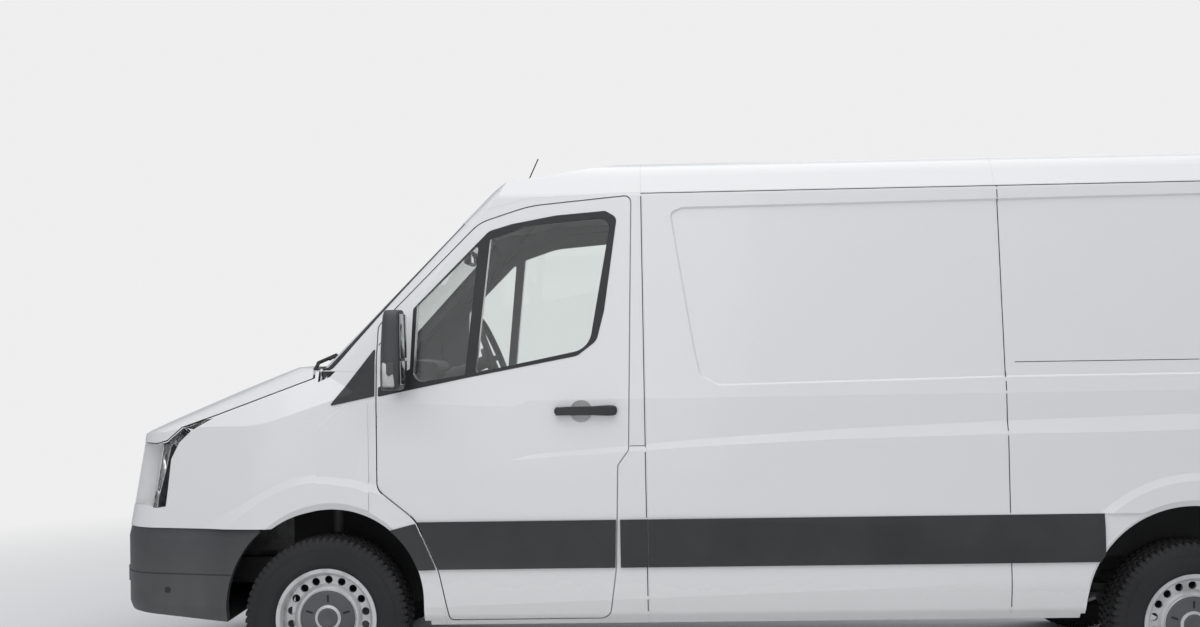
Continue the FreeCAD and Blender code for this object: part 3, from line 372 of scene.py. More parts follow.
@dataclass(frozen=True)
class ZonedPaint(Paint):
    """Body paint with dull dark zones, a lining on what faces the inside, and painted shade on the
    rear-facing shut faces in the door gaps.
    """

    dark: tuple[Zone, ...] = ()
    # Near-black of the dark zones, and of the painted shade on the shut faces.
    black_trim_and_gap_shade_colour: Colour = (0.016, 0.016, 0.017)
    lined: bool = False
    lining: Colour = (0.10, 0.10, 0.105)
    # Paints the rear-facing shut faces near the skin dark: painted shade of the narrow door gaps.
    painted_shade_shut_face: bool = False

    def build(self) -> bpy.types.Material:
        """The material."""
        graph = Graph(self.name)
        base, rough, normal = self.layers(graph)
        plain = None
        colour = base
        if self.lined:
            below = (-1.0 * graph.facing("Z")).smaller(graph.height().clipped(1.3, 1.4))
            inward = (-1.0 * graph.facing("Y") * graph.axis("Y").sign()).larger(below)
            plain = inward.clipped(0.42, 0.5)
            colour = graph.mixed(plain, colour, self.lining)
        masks = [zone.mask(graph) for zone in self.dark]
        # Painted shade: rear-facing faces near the skin take the near-black, standing for the shadow in the
        # door gaps.
        if self.painted_shade_shut_face:
            rearward = graph.facing("X").clipped(0.6, 0.7)
            outboard = graph.axis("Y").size().clipped(0.84, 0.85)
            masks.append(rearward.smaller(outboard))
        for mask in masks:
            colour = graph.mixed(mask, colour, self.black_trim_and_gap_shade_colour)
            plain = mask if plain is None else plain.larger(mask)
        if plain is not None:
            rough = rough + (0.75 - rough) * plain
        coat = 0.5 if plain is None else 0.5 - 0.5 * plain
        return graph.finish(
            Base_Color=colour, Roughness=rough, Coat_Weight=coat, Coat_Roughness=0.06, IOR=1.5, Normal=normal)


@dataclass(frozen=True)
class Plastic:
    """Moulded plastic with a fine grain."""

    name: str
    colour: Colour
    roughness: float = 0.5
    grain: float = 0.00012
    scale: float = 900.0
    dusty_to: float = 0.0

    def build(self) -> bpy.types.Material:
        """The material."""
        graph = Graph(self.name)
        cloud = graph.noise(3.0, 6.0)
        worn = tuple(1.35 * part + 0.012 for part in self.colour)
        base = graph.mixed(cloud.clipped(0.3, 0.8), self.colour, worn)
        if self.dusty_to:
            low = 1.0 - graph.height().clipped(0.2, self.dusty_to)
            streaks = graph.noise(9.0, 6.0, (1.0, 1.0, 0.35))
            base = graph.mixed(low * streaks * 0.45, base, (0.21, 0.205, 0.195))
        rough = self.roughness + 0.16 * (cloud - 0.5)
        relief = graph.noise(self.scale, 2.0)
        return graph.finish(Base_Color=base, Roughness=rough, IOR=1.46, Normal=graph.bump(relief, self.grain))


@dataclass(frozen=True)
class Metal:
    """Painted or bare metal."""

    name: str
    colour: Colour
    metallic: float = 1.0
    roughness: float = 0.35
    grime: float = 0.3

    def build(self) -> bpy.types.Material:
        """The material."""
        graph = Graph(self.name)
        cloud = graph.noise(14.0, 6.0)
        dirt = cloud.clipped(0.48, 0.78) * self.grime
        base = graph.mixed(dirt, self.colour, (0.09, 0.08, 0.07))
        rough = self.roughness + 0.4 * dirt
        fine = graph.noise(700.0, 2.0)
        return graph.finish(Base_Color=base, Metallic=self.metallic * (1.0 - dirt), Roughness=rough,
                            Normal=graph.bump(fine, 0.00005))


@dataclass(frozen=True)
class Glass:
    """Clear or tinted glass."""

    name: str
    colour: Colour = (0.93, 0.95, 0.95)
    roughness: float = 0.0

    def build(self) -> bpy.types.Material:
        """The material."""
        graph = Graph(self.name)
        film = graph.noise(5.0, 4.0)
        rough = self.roughness + 0.02 * film.clipped(0.5, 0.9)
        tint = (*self.colour, 1.0)
        return graph.finish(Base_Color=tint, Roughness=rough, IOR=1.45, Transmission_Weight=1.0)


@dataclass(frozen=True)
class BandedLens:
    """A tail lamp's red, amber and clear fields with fine ribs."""

    name: str
    fields: tuple[tuple[float, Colour], ...] = (
        (0.0, (0.55, 0.01, 0.012)),
        (0.30, (0.62, 0.60, 0.60)),
        (0.44, (0.80, 0.26, 0.01)),
        (0.62, (0.55, 0.01, 0.012)),
    )
    low: float = 1.21
    high: float = 1.66

    def build(self) -> bpy.types.Material:
        """The material."""
        graph = Graph(self.name)
        share = graph.height().clipped(self.low, self.high)
        base = graph.node("ShaderNodeValToRGB", {"stops": self.fields}, {0: share})
        base.socket.node.color_ramp.interpolation = "CONSTANT"
        stretch = {"Vector": graph.place(), "Scale": 60.0}
        ribs = graph.node("ShaderNodeTexWave", {"bands_direction": "Z"}, stretch)
        return graph.finish(Base_Color=base, Roughness=0.08 + 0.08 * graph.noise(6.0, 3.0), Coat_Weight=1.0,
                            Coat_Roughness=0.03, IOR=1.5, Normal=graph.bump(ribs, 0.0006))


@dataclass(frozen=True)
class Cloth:
    """Woven seat cloth."""

    name: str
    colour: Colour
    thread: Colour

    def build(self) -> bpy.types.Material:
        """The material."""
        graph = Graph(self.name)
        warp, weft = [graph.node("ShaderNodeTexWave", {"bands_direction": axis},
                                 {"Vector": graph.place(), "Scale": 140.0, "Distortion": 0.6})
                      for axis in ("Y", "Z")]
        weave = graph.node("ShaderNodeMath", {"operation": "MAXIMUM"}, {0: warp, 1: weft})
        tint = graph.mixed(weave * 0.7, self.colour, self.thread)
        worn = graph.noise(6.0, 5.0).clipped(0.45, 0.75)
        base = graph.mixed(worn * 0.3, tint, tuple(1.5 * part for part in self.thread))
        return graph.finish(Base_Color=base, Roughness=0.9 - 0.08 * worn, Sheen_Weight=0.3,
                            Normal=graph.bump(weave, 0.0006))


WHITE: Colour = (0.78, 0.78, 0.775)


class Finish(Enum):
    """The finishes on the van."""

    BODY = Paint("white_paint", WHITE)
    # The wing and cab paints darken their rear-facing shut faces: painted shade in the door gaps.
    WING = ZonedPaint("wing_paint", WHITE, painted_shade_shut_face=True,
                      dark=(Zone((-2.6, -1.38), (-1.0, 0.945), (-1.0, 0.885)),))
    QUARTER = ZonedPaint("quarter_paint", WHITE, dark=(Zone((1.1, 2.3), (-1.0, 0.945), (-1.0, 0.89)),))
    CAB = ZonedPaint("cab_paint", WHITE, lined=True, painted_shade_shut_face=True,
                     dark=(Zone((-2.6, -1.38), (-1.0, 0.945), (-1.0, 0.87)),
                           Zone((-2.6, -2.004), (-1.0, 0.832), (1.2, 1.474))))
    DOOR = ZonedPaint("door_paint", WHITE, lined=True)
    ROOF = ZonedPaint("roof_paint", WHITE, lined=True, lining=(0.40, 0.40, 0.39))
    TRIM = Plastic("grey_trim", (0.045, 0.046, 0.048), 0.5, dusty_to=0.7)
    STRIP = Plastic("rubbing_strip", (0.021, 0.0215, 0.0225), 0.42, dusty_to=0.62)
    BLACK = Plastic("black_trim", (0.012, 0.012, 0.013), 0.35, 0.00003)
    SEAL = Plastic("rubber_seal", (0.014, 0.014, 0.014), 0.75)
    DASH = Plastic("dash_plastic", (0.055, 0.056, 0.058), 0.6, 0.0003, 500.0)
    FLOOR_MAT = Plastic("floor_mat", (0.03, 0.03, 0.03), 0.9, 0.0008, 120.0)
    TYRE = Plastic("tyre_rubber", (0.012, 0.012, 0.0125), 0.78, 0.0002, 600.0)
    WHEEL = Metal("silver_steel", (0.60, 0.60, 0.60), 0.55, 0.38, 0.35)
    CAP = Plastic("wheel_cap", (0.075, 0.075, 0.078), 0.45)
    LAMP_HOUSING = Plastic("lamp_housing", (0.06, 0.06, 0.062), 0.3, 0.00002)
    CHASSIS = Metal("chassis_steel", (0.05, 0.05, 0.05), 0.4, 0.6, 0.6)
    ENGINE = Metal("cast_metal", (0.32, 0.32, 0.32), 0.8, 0.5, 0.7)
    EXHAUST = Metal("exhaust_steel", (0.38, 0.34, 0.30), 0.9, 0.45, 0.8)
    CHROME = Metal("lamp_mirror", (0.86, 0.86, 0.86), 1.0, 0.08, 0.0)
    MIRROR = Metal("mirror_glass", (0.32, 0.33, 0.34), 1.0, 0.06, 0.0)
    WINDOW = Glass("window_glass", (0.86, 0.89, 0.88))
    LENS = Glass("lamp_cover", (0.97, 0.97, 0.97), 0.01)
    RED = Glass("red_lens", (0.72, 0.02, 0.02), 0.05)
    TAIL = BandedLens("tail_lens")
    SEAT = Cloth("seat_cloth", (0.03, 0.03, 0.034), (0.085, 0.085, 0.09))


@dataclass
class Palette:
    """The materials, made when first asked for."""

    made: dict[Finish, bpy.types.Material] = field(default_factory=dict)

    def __getitem__(self, finish: Finish) -> bpy.types.Material:
        """The material of a finish."""
        if finish not in self.made:
            self.made[finish] = finish.value.build()
        return self.made[finish]


NODE_FINISHES: dict[Finish, tuple[str, ...]] = {
    Finish.BODY: ("bonnet", "mid_side_panels", "sliding_door", "rear_door_left", "rear_door_right"),
    Finish.ROOF: ("roof",),
    Finish.CAB: ("cab_frame",),
    Finish.WING: ("front_wings",),
    Finish.QUARTER: ("rear_side_panels",),
    Finish.DOOR: ("cab_door_left", "cab_door_right"),
    Finish.TRIM: ("grille", "front_bumper", "rear_bumper", "mirror_left", "mirror_right"),
    Finish.STRIP: ("side_trims", "door_trim_left", "door_trim_right"),
    Finish.WINDOW: ("windscreen", "door_glass_left", "door_glass_right",
                    "rear_glass_left", "rear_glass_right"),
    Finish.DASH: ("dashboard", "steering_wheel"),
    Finish.SEAT: ("seats",),
    Finish.FLOOR_MAT: ("floor",),
    Finish.CHASSIS: ("chassis_rails", "rear_axle", "leaf_springs", "front_suspension", "knuckle_left",
                     "knuckle_right", "propshaft", "fuel_tank", "radiator"),
    Finish.ENGINE: ("engine_block",),
    Finish.EXHAUST: ("exhaust",),
    Finish.WHEEL: ("wheel_front_left", "wheel_front_right", "wheel_rear_left", "wheel_rear_right"),
    Finish.TYRE: ("tyre_front_left", "tyre_front_right", "tyre_rear_left", "tyre_rear_right"),
    Finish.LENS: ("headlamps",),
    Finish.TAIL: ("tail_lamps",),
}


@dataclass
class Studio:
    """Camera, floor, background and lights."""

    eye: Point3 = (-0.553, -7.117, 1.557)
    yaw: float = 2.15
    pitch: float = 0.93
    lens: float = 43.5
    background: float = 0.86

    def build(self) -> None:
        """Sets up the view and the light."""
        scene = bpy.context.scene
        scene.view_settings.view_transform = "Standard"
        self._camera(scene)
        self._world(scene)
        self._floor()
        self._lamp("sky_lamp", (-0.5, -2.0, 7.5), (0.0, 0.0, 0.8), 11.0, 470.0)
        self._lamp("street_lamp", (-3.0, -9.0, 3.6), (-0.4, 0.0, 1.1), 7.0, 110.0)
        self._lamp("yard_lamp", (4.5, 6.5, 4.5), (0.0, 0.0, 1.0), 8.5, 100.0)

    def _camera(self, scene: bpy.types.Scene) -> None:
        """Places the camera at the photograph's viewpoint.

        Args:
            scene: The scene to give it to.
        """
        data = bpy.data.cameras.new("camera")
        data.lens = self.lens
        data.clip_end = 200.0
        camera = bpy.data.objects.new("camera", data)
        camera.location = self.eye
        camera.rotation_euler = (math.radians(90.0 + self.pitch), 0.0, math.radians(self.yaw))
        scene.collection.objects.link(camera)
        scene.camera = camera

    def _world(self, scene: bpy.types.Scene) -> None:
        """Pale all round; the camera and transmission rays see the plain background.

        Args:
            scene: The scene to give it to.
        """
        world = bpy.data.worlds.new("studio")
        world.use_nodes = True
        scene.world = world
        tree = world.node_tree
        tree.nodes.clear()
        path = tree.nodes.new("ShaderNodeLightPath")
        seen = tree.nodes.new("ShaderNodeMath")
        seen.operation = "MAXIMUM"
        tree.links.new(path.outputs["Is Camera Ray"], seen.inputs[0])
        tree.links.new(path.outputs["Is Transmission Ray"], seen.inputs[1])
        lit, shown = [tree.nodes.new("ShaderNodeBackground") for _ in range(2)]
        lit.inputs["Color"].default_value = (0.9, 0.93, 1.0, 1.0)
        lit.inputs["Strength"].default_value = 0.46
        shown.inputs["Color"].default_value = (self.background,) * 3 + (1.0,)
        mix = tree.nodes.new("ShaderNodeMixShader")
        output = tree.nodes.new("ShaderNodeOutputWorld")
        tree.links.new(seen.outputs[0], mix.inputs["Fac"])
        tree.links.new(lit.outputs[0], mix.inputs[1])
        tree.links.new(shown.outputs[0], mix.inputs[2])
        tree.links.new(mix.outputs[0], output.inputs["Surface"])

    def _floor(self) -> None:
        """A plain pale floor."""
        far = 60
        corner_points = [(-far, -far, 0), (far, -far, 0), (far, far, 0), (-far, far, 0)]
        made = build_mesh("floor_plane", corner_points, [(0, 1, 2, 3)])
        graph = Graph("pale_floor")
        tone = self.background * 0.86
        colour = graph.mixed(graph.noise(1.5, 4.0), (tone,) * 3, (tone * 0.97,) * 3)
        matte = graph.node("ShaderNodeBsdfPrincipled", {}, {"Base Color": colour, "Roughness": 0.85})
        plain = graph.node("ShaderNodeEmission", {}, {"Color": (self.background,) * 3 + (1.0,)})
        away = graph.node("ShaderNodeVectorMath", {"operation": "LENGTH"}, {0: graph.place()}, out="Value")
        seen = graph.node("ShaderNodeLightPath", out="Is Camera Ray")
        far = away.clipped(3.4, 7.5) * seen
        graph.node_output(graph.node("ShaderNodeMixShader", {}, {0: far, 1: matte, 2: plain}))
        made.data.materials.append(graph.material)

    @staticmethod
    def _lamp(name: str, at: Point3, toward: Point3, size: float, power: float) -> None:
        """Adds a soft square lamp.

        Args:
            name: The lamp's name.
            at: Where it hangs.
            toward: What it faces.
            size: Its side in metres.
            power: Its power in watts.
        """
        data = bpy.data.lights.new(name, "AREA")
        data.size = size
        data.energy = power
        lamp = bpy.data.objects.new(name, data)
        lamp.location = at
        lamp.rotation_euler = (Vector(toward) - Vector(at)).to_track_quat("-Z", "Y").to_euler()
        bpy.context.scene.collection.objects.link(lamp)


def build_mesh(name: str, points: Sequence[Point3], faces: Sequence[Sequence[int]]) -> bpy.types.Object:
    """A new mesh object.

    Args:
        name: Its name.
        points: Its vertices.
        faces: Its faces, as vertex numbers.

    Returns:
        The object, in the scene.
    """
    mesh = bpy.data.meshes.new(name)
    mesh.from_pydata([tuple(point) for point in points], [], [tuple(face) for face in faces])
    mesh.update()
    made = bpy.data.objects.new(name, mesh)
    bpy.context.scene.collection.objects.link(made)
    return made


@dataclass
class CarriedParts:
    """The model's own solids, each given its finish."""

    palette: Palette

    def dress(self, nodes: dict[str, bpy.types.Object]) -> None:
        """Gives every node its material.

        Args:
            nodes: The node objects by name.
        """
        for finish, names in NODE_FINISHES.items():
            for name in names:
                for slot in nodes[name].material_slots:
                    slot.material = self.palette[finish]


# Shapes


@dataclass(frozen=True)
class Stance:
    """How the body, drawn level in millimetres, sits on its wheels."""

    rake: float = math.radians(1.05)
    axle: float = -1955.0
    hub: float = 350.0

    def __call__(self, x: float, y: float, z: float) -> Vector:
        """A point of the level body, in metres on the ground."""
        ahead, above = x - self.axle, z - self.hub
        along = ahead * math.cos(self.rake) - above * math.sin(self.rake)
        up = ahead * math.sin(self.rake) + above * math.cos(self.rake)
        return Vector((self.axle + along, y, self.hub + up)) / 1000.0

    def level(self, point: Vector) -> tuple[float, float, float]:
        """A point on the ground's frame back on the level body, in millimetres."""
        ahead, above = 1000.0 * point.x - self.axle, 1000.0 * point.z - self.hub
        along = ahead * math.cos(self.rake) + above * math.sin(self.rake)
        up = above * math.cos(self.rake) - ahead * math.sin(self.rake)
        return self.axle + along, 1000.0 * point.y, self.hub + up


STANCE = Stance()


@dataclass(frozen=True)
class Flank:
    """The side of the body above its waist, in millimetres."""

    section: tuple[Point2, ...] = (
        (2152.0, 870.0), (1330.0, 958.0), (1130.0, 985.0), (470.0, 985.0), (362.0, 965.0))
    plan: tuple[Point2, ...] = ((-2885.0, 800.0), (-2330.0, 940.0), (-1500.0, 988.0), (3000.0, 988.0))

    @staticmethod
    def along(table: Sequence[Point2], at: float) -> float:
        """Reads a table of straight runs.

        Args:
            table: Points in order of their first number.
            at: Where to read it.

        Returns:
            The second number there.
        """
        ordered = sorted(table)
        for (a, low), (b, high) in zip(ordered, ordered[1:]):
            if at <= b:
                return low + (high - low) * max(0.0, at - a) / (b - a)
        return ordered[-1][1]

    def out(self, x: float, z: float) -> float:
        """Distance of the skin from the middle of the body."""
        below_screen = 0.7102 * (1407.0 + 0.9912 * (x + 2111.0) - z)
        pillar = 868.0 + 97.0 * (below_screen - 99.0) / 176.0 if x < -1100.0 else 1000.0
        return min(self.along(self.section, z), self.along(self.plan, x), pillar)


FLANK = Flank()


def rounded(points: Sequence[Point3], steps: int = 8) -> list[Point2]:
    """Points along a closed outline with rounded corners.

    Args:
        points: Corners as (u, v, radius).
        steps: Pieces in each corner's arc.

    Returns:
        The outline's points.
    """
    made: list[Point2] = []
    for i, (u, v, radius) in enumerate(points):
        here = Vector((u, v))
        if not radius:
            made.append((u, v))
            continue
        before, after = Vector(points[i - 1][:2]), Vector(points[(i + 1) % len(points)][:2])
        a, b = (before - here).normalized(), (after - here).normalized()
        half = a.angle(b) / 2.0
        reach = radius / math.tan(half)
        centre = here + (a + b).normalized() * (radius / math.sin(half))
        start, end = here + a * reach - centre, here + b * reach - centre
        turn = start.angle_signed(end)
        for k in range(steps + 1):
            angle = -turn * k / steps
            spun = Matrix.Rotation(angle, 2) @ start
            made.append(tuple(centre + spun))
    return made


def filled(name: str, loops: Sequence[Sequence[Point2]]) -> tuple[list[Point2], list[tuple[int, ...]]]:
    """Fills outlines, the later ones as holes in the first.

    Args:
        name: A name for the work.
        loops: Closed outlines.

    Returns:
        Points and faces in the plane.
    """
    curve = bpy.data.curves.new(name, "CURVE")
    curve.dimensions = "2D"
    curve.fill_mode = "BOTH"
    for loop in loops:
        spline = curve.splines.new("POLY")
        spline.points.add(len(loop) - 1)
        for point, (u, v) in zip(spline.points, loop):
            point.co = (u, v, 0.0, 1.0)
        spline.use_cyclic_u = True
    holder = bpy.data.objects.new(name, curve)
    bpy.context.scene.collection.objects.link(holder)
    graph = bpy.context.evaluated_depsgraph_get()
    mesh = bpy.data.meshes.new_from_object(holder.evaluated_get(graph))
    work = bmesh.new()
    work.from_mesh(mesh)
    bmesh.ops.remove_doubles(work, verts=work.verts, dist=0.01)
    bmesh.ops.recalc_face_normals(work, faces=work.faces)
    work.verts.ensure_lookup_table()
    points = [(vertex.co.x, vertex.co.y) for vertex in work.verts]
    faces = [tuple(vertex.index for vertex in face.verts) for face in work.faces]
    work.free()
    bpy.data.objects.remove(holder)
    bpy.data.meshes.remove(mesh)
    return points, faces


def slab(name: str, loops: Sequence[Sequence[Point2]], place: Placer, top: float,
         bottom: float) -> bpy.types.Object:
    """A thin plate of a flat outline, laid on a curved surface.

    Args:
        name: The piece's name.
        loops: The outline, then its holes.
        place: Turns (u, v, level) into a point in metres.
        top: Level of its face.
        bottom: Level of its back.

    Returns:
        The piece.
    """
    flat, faces = filled(name, loops)
    count = len(flat)
    points = [place(u, v, top) for u, v in flat] + [place(u, v, bottom) for u, v in flat]
    used: dict[tuple[int, int], int] = {}
    for face in faces:
        for a, b in zip(face, face[1:] + face[:1]):
            used[(a, b)] = used.get((a, b), 0) + 1
    sides = [(b, a, a + count, b + count) for a, b in used if (b, a) not in used]
    backs = [tuple(v + count for v in reversed(face)) for face in faces]
    made = build_mesh(name, points, list(faces) + backs + sides)
    outward(made)
    return made


def outward(made: bpy.types.Object) -> None:
    """Turns an object's faces outwards and joins its doubled points.

    Args:
        made: The object.
    """
    work = bmesh.new()
    work.from_mesh(made.data)
    bmesh.ops.remove_doubles(work, verts=work.verts, dist=1e-6)
    bmesh.ops.recalc_face_normals(work, faces=work.faces)
    work.to_mesh(made.data)
    work.free()


def smooth(made: bpy.types.Object, angle: float = 35.0) -> bpy.types.Object:
    """Shades an object smooth but for its sharp edges.

    Args:
        made: The object.
        angle: Edges sharper than this stay sharp, in degrees.

    Returns:
        The object.
    """
    made.data.shade_smooth()
    made.data.set_sharp_from_angle(angle=math.radians(angle))
    return made


def spun(name: str, section: Sequence[Point2], centre: Point3, side: float, count: int = 96,
         relief: Optional[Callable[[float, float], float]] = None) -> bpy.types.Object:
    """A section turned about a wheel's axle.

    Args:
        name: The piece's name.
        section: (radius, distance outboard) in millimetres; closed if its ends meet.
        centre: The wheel's middle, in metres.
        side: 1 for the right-hand side, -1 for the left.
        count: Steps round.
        relief: Depth to take off the radius, from the turn (0 to 1) and the distance outboard.

    Returns:
        The piece.
    """
    points: list[Vector] = []
    for i in range(count):
        turn = i / count
        angle = 2.0 * math.pi * turn
        for radius, outboard in section:
            cut_in = relief(turn, outboard) if relief and radius > 300 else 0.0
            reach = (radius - cut_in) / 1000.0
            points.append(Vector(centre) + Vector((reach * math.cos(angle), side * outboard / 1000.0,
                                                   reach * math.sin(angle))))
    width = len(section)
    faces = [(i * width + k, i * width + k + 1, (i + 1) % count * width + k + 1, (i + 1) % count * width + k)
             for i in range(count) for k in range(width - 1)]
    made = build_mesh(name, points, faces)
    outward(made)
    return made


def tube(name: str, route: Sequence[Vector], radius: float, resolution: int = 4) -> bpy.types.Object:
    """A round bar along a route.

    Args:
        name: The piece's name.
        route: Its points, in metres.
        radius: Its radius, in metres.
        resolution: Fineness of its section.

    Returns:
        The piece.
    """
    curve = bpy.data.curves.new(name, "CURVE")
    curve.dimensions = "3D"
    curve.bevel_depth = radius
    curve.bevel_resolution = resolution
    curve.use_fill_caps = True
    spline = curve.splines.new("POLY")
    spline.points.add(len(route) - 1)
    for point, place in zip(spline.points, route):
        point.co = (*place, 1.0)
    made = bpy.data.objects.new(name, curve)
    bpy.context.scene.collection.objects.link(made)
    return made


def loft(name: str, rings: Sequence[Sequence[Vector]], capped: bool = True) -> bpy.types.Object:
    """A skin through rings of equal counts of points.

    Args:
        name: The piece's name.
        rings: The rings, in order.
        capped: Whether its two ends are closed.

    Returns:
        The piece.
    """
    width = len(rings[0])
    points = [point for ring in rings for point in ring]
    faces = []
    for start in range(0, (len(rings) - 1) * width, width):
        for k in range(width):
            after = (k + 1) % width
            faces.append((start + k, start + after, start + width + after, start + width + k))
    if capped:
        faces += [tuple(range(width)), tuple(range((len(rings) - 1) * width, len(rings) * width))]
    made = build_mesh(name, points, faces)
    outward(made)
    return made


def rounded_block(name: str, low: Sequence[float], high: Sequence[float], bevel: float,
                  place: Placer) -> bpy.types.Object:
    """A block in the level body's millimetres, with rounded edges.

    Args:
        name: The piece's name.
        low: Its lowest corner.
        high: Its highest corner.
        bevel: Radius of its edges, in millimetres.
        place: Turns a point in millimetres into metres.

    Returns:
        The piece.
    """
    work = bmesh.new()
    bmesh.ops.create_cube(work, size=1.0)
    for vertex in work.verts:
        vertex.co = [a + (b - a) * (c + 0.5) for a, b, c in zip(low, high, vertex.co)]
    bmesh.ops.bevel(work, geom=list(work.edges), offset=bevel, segments=4, profile=0.5, affect="EDGES")
    for vertex in work.verts:
        vertex.co = place(*vertex.co)
    mesh = bpy.data.meshes.new(name)
    work.to_mesh(mesh)
    work.free()
    made = bpy.data.objects.new(name, mesh)
    bpy.context.scene.collection.objects.link(made)
    outward(made)
    return smooth(made, 60.0)


class Surface:
    """The outside of some objects, found by looking at it from afar."""

    def __init__(self, objects: Iterable[bpy.types.Object]) -> None:
        """Gathers the objects' faces.

        Args:
            objects: Mesh objects.
        """
        points: list[Vector] = []
        faces: list[tuple[int, ...]] = []
        for each in objects:
            start = len(points)
            points += [each.matrix_world @ vertex.co for vertex in each.data.vertices]
            faces += [tuple(start + i for i in face.vertices) for face in each.data.polygons]
        self.tree = BVHTree.FromPolygons(points, faces)

    def seen(self, eye: Vector, aim: Vector, level: float) -> Vector:
        """What is seen first, and how far above it.

        Args:
            eye: Where to look from.
            aim: Where to look to.
            level: Height above the surface, in millimetres.

        Returns:
            The point.

        Raises:
            ValueError: Nothing is there.
        """
        way = (aim - eye).normalized()
        hit, normal, _, _ = self.tree.ray_cast(eye, way)
        if hit is None:
            raise ValueError(f"no surface from {tuple(eye)}")
        if normal.dot(way) > 0:
            normal = -normal
        return hit + normal * level / 1000.0

    def beside(self, sign: float) -> Placer:
        """A view of one side: takes x, z and level in the level body's millimetres."""
        return lambda x, z, level: self.seen(STANCE(x, sign * 1400.0, z), STANCE(x, 0.0, z), level)

    def above(self) -> Placer:
        """A view from above: takes x, y and level in the level body's millimetres."""
        return lambda x, y, level: self.seen(STANCE(x, y, 2900.0), STANCE(x, y, 0.0), level)

    def end(self, way: float) -> Placer:
        """A view of the front (-1) or rear (1): takes y, z and level in the level body's millimetres."""
        return lambda y, z, level: self.seen(STANCE(3400.0 * way, y, z), STANCE(0.0, y, z), level)


def seam(name: str, route: Sequence[Point2], place: Placer, width: float = 4.0,
         step: float = 25.0) -> bpy.types.Object:
    """A narrow band laid on a surface along a route.

    Args:
        name: The piece's name.
        route: Its corners in the view's plane.
        place: The view, from (u, v, level) to a point in metres.
        width: Its width in millimetres.
        step: Longest piece of it in millimetres.

    Returns:
        The piece.
    """
    spots: list[Vector] = [Vector(route[0])]
    for a, b in zip(route, route[1:]):
        a, b = Vector(a), Vector(b)
        count = max(1, math.ceil((b - a).length / step))
        spots += [a.lerp(b, (k + 1) / count) for k in range(count)]
    rings = []
    for i, spot in enumerate(spots):
        along = (spots[min(i + 1, len(spots) - 1)] - spots[max(i - 1, 0)]).normalized()
        across = Vector((-along.y, along.x)) * width / 2.0
        left, right = spot + across, spot - across
        rings.append([place(*left, 0.35), place(*right, 0.35), place(*right, -1.2), place(*left, -1.2)])
    return loft(name, rings)


class Fitter:
    """Gives pieces their material and the body that they ride on."""

    def __init__(self, palette: Palette) -> None:
        """Keeps the materials.

        Args:
            palette: The materials.
        """
        self.palette = palette

    def fit(self, made: bpy.types.Object, finish: Finish, body: str) -> bpy.types.Object:
        """Dresses a piece and sets it on its body.

        Args:
            made: The piece.
            finish: Its finish.
            body: The body that it rides on.

        Returns:
            The piece.
        """
        made.data.materials.clear()
        made.data.materials.append(self.palette[finish])
        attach(made, body)
        LOG.info("piece %s", made.name)
        return made


SIDES = (("left", -1.0), ("right", 1.0))


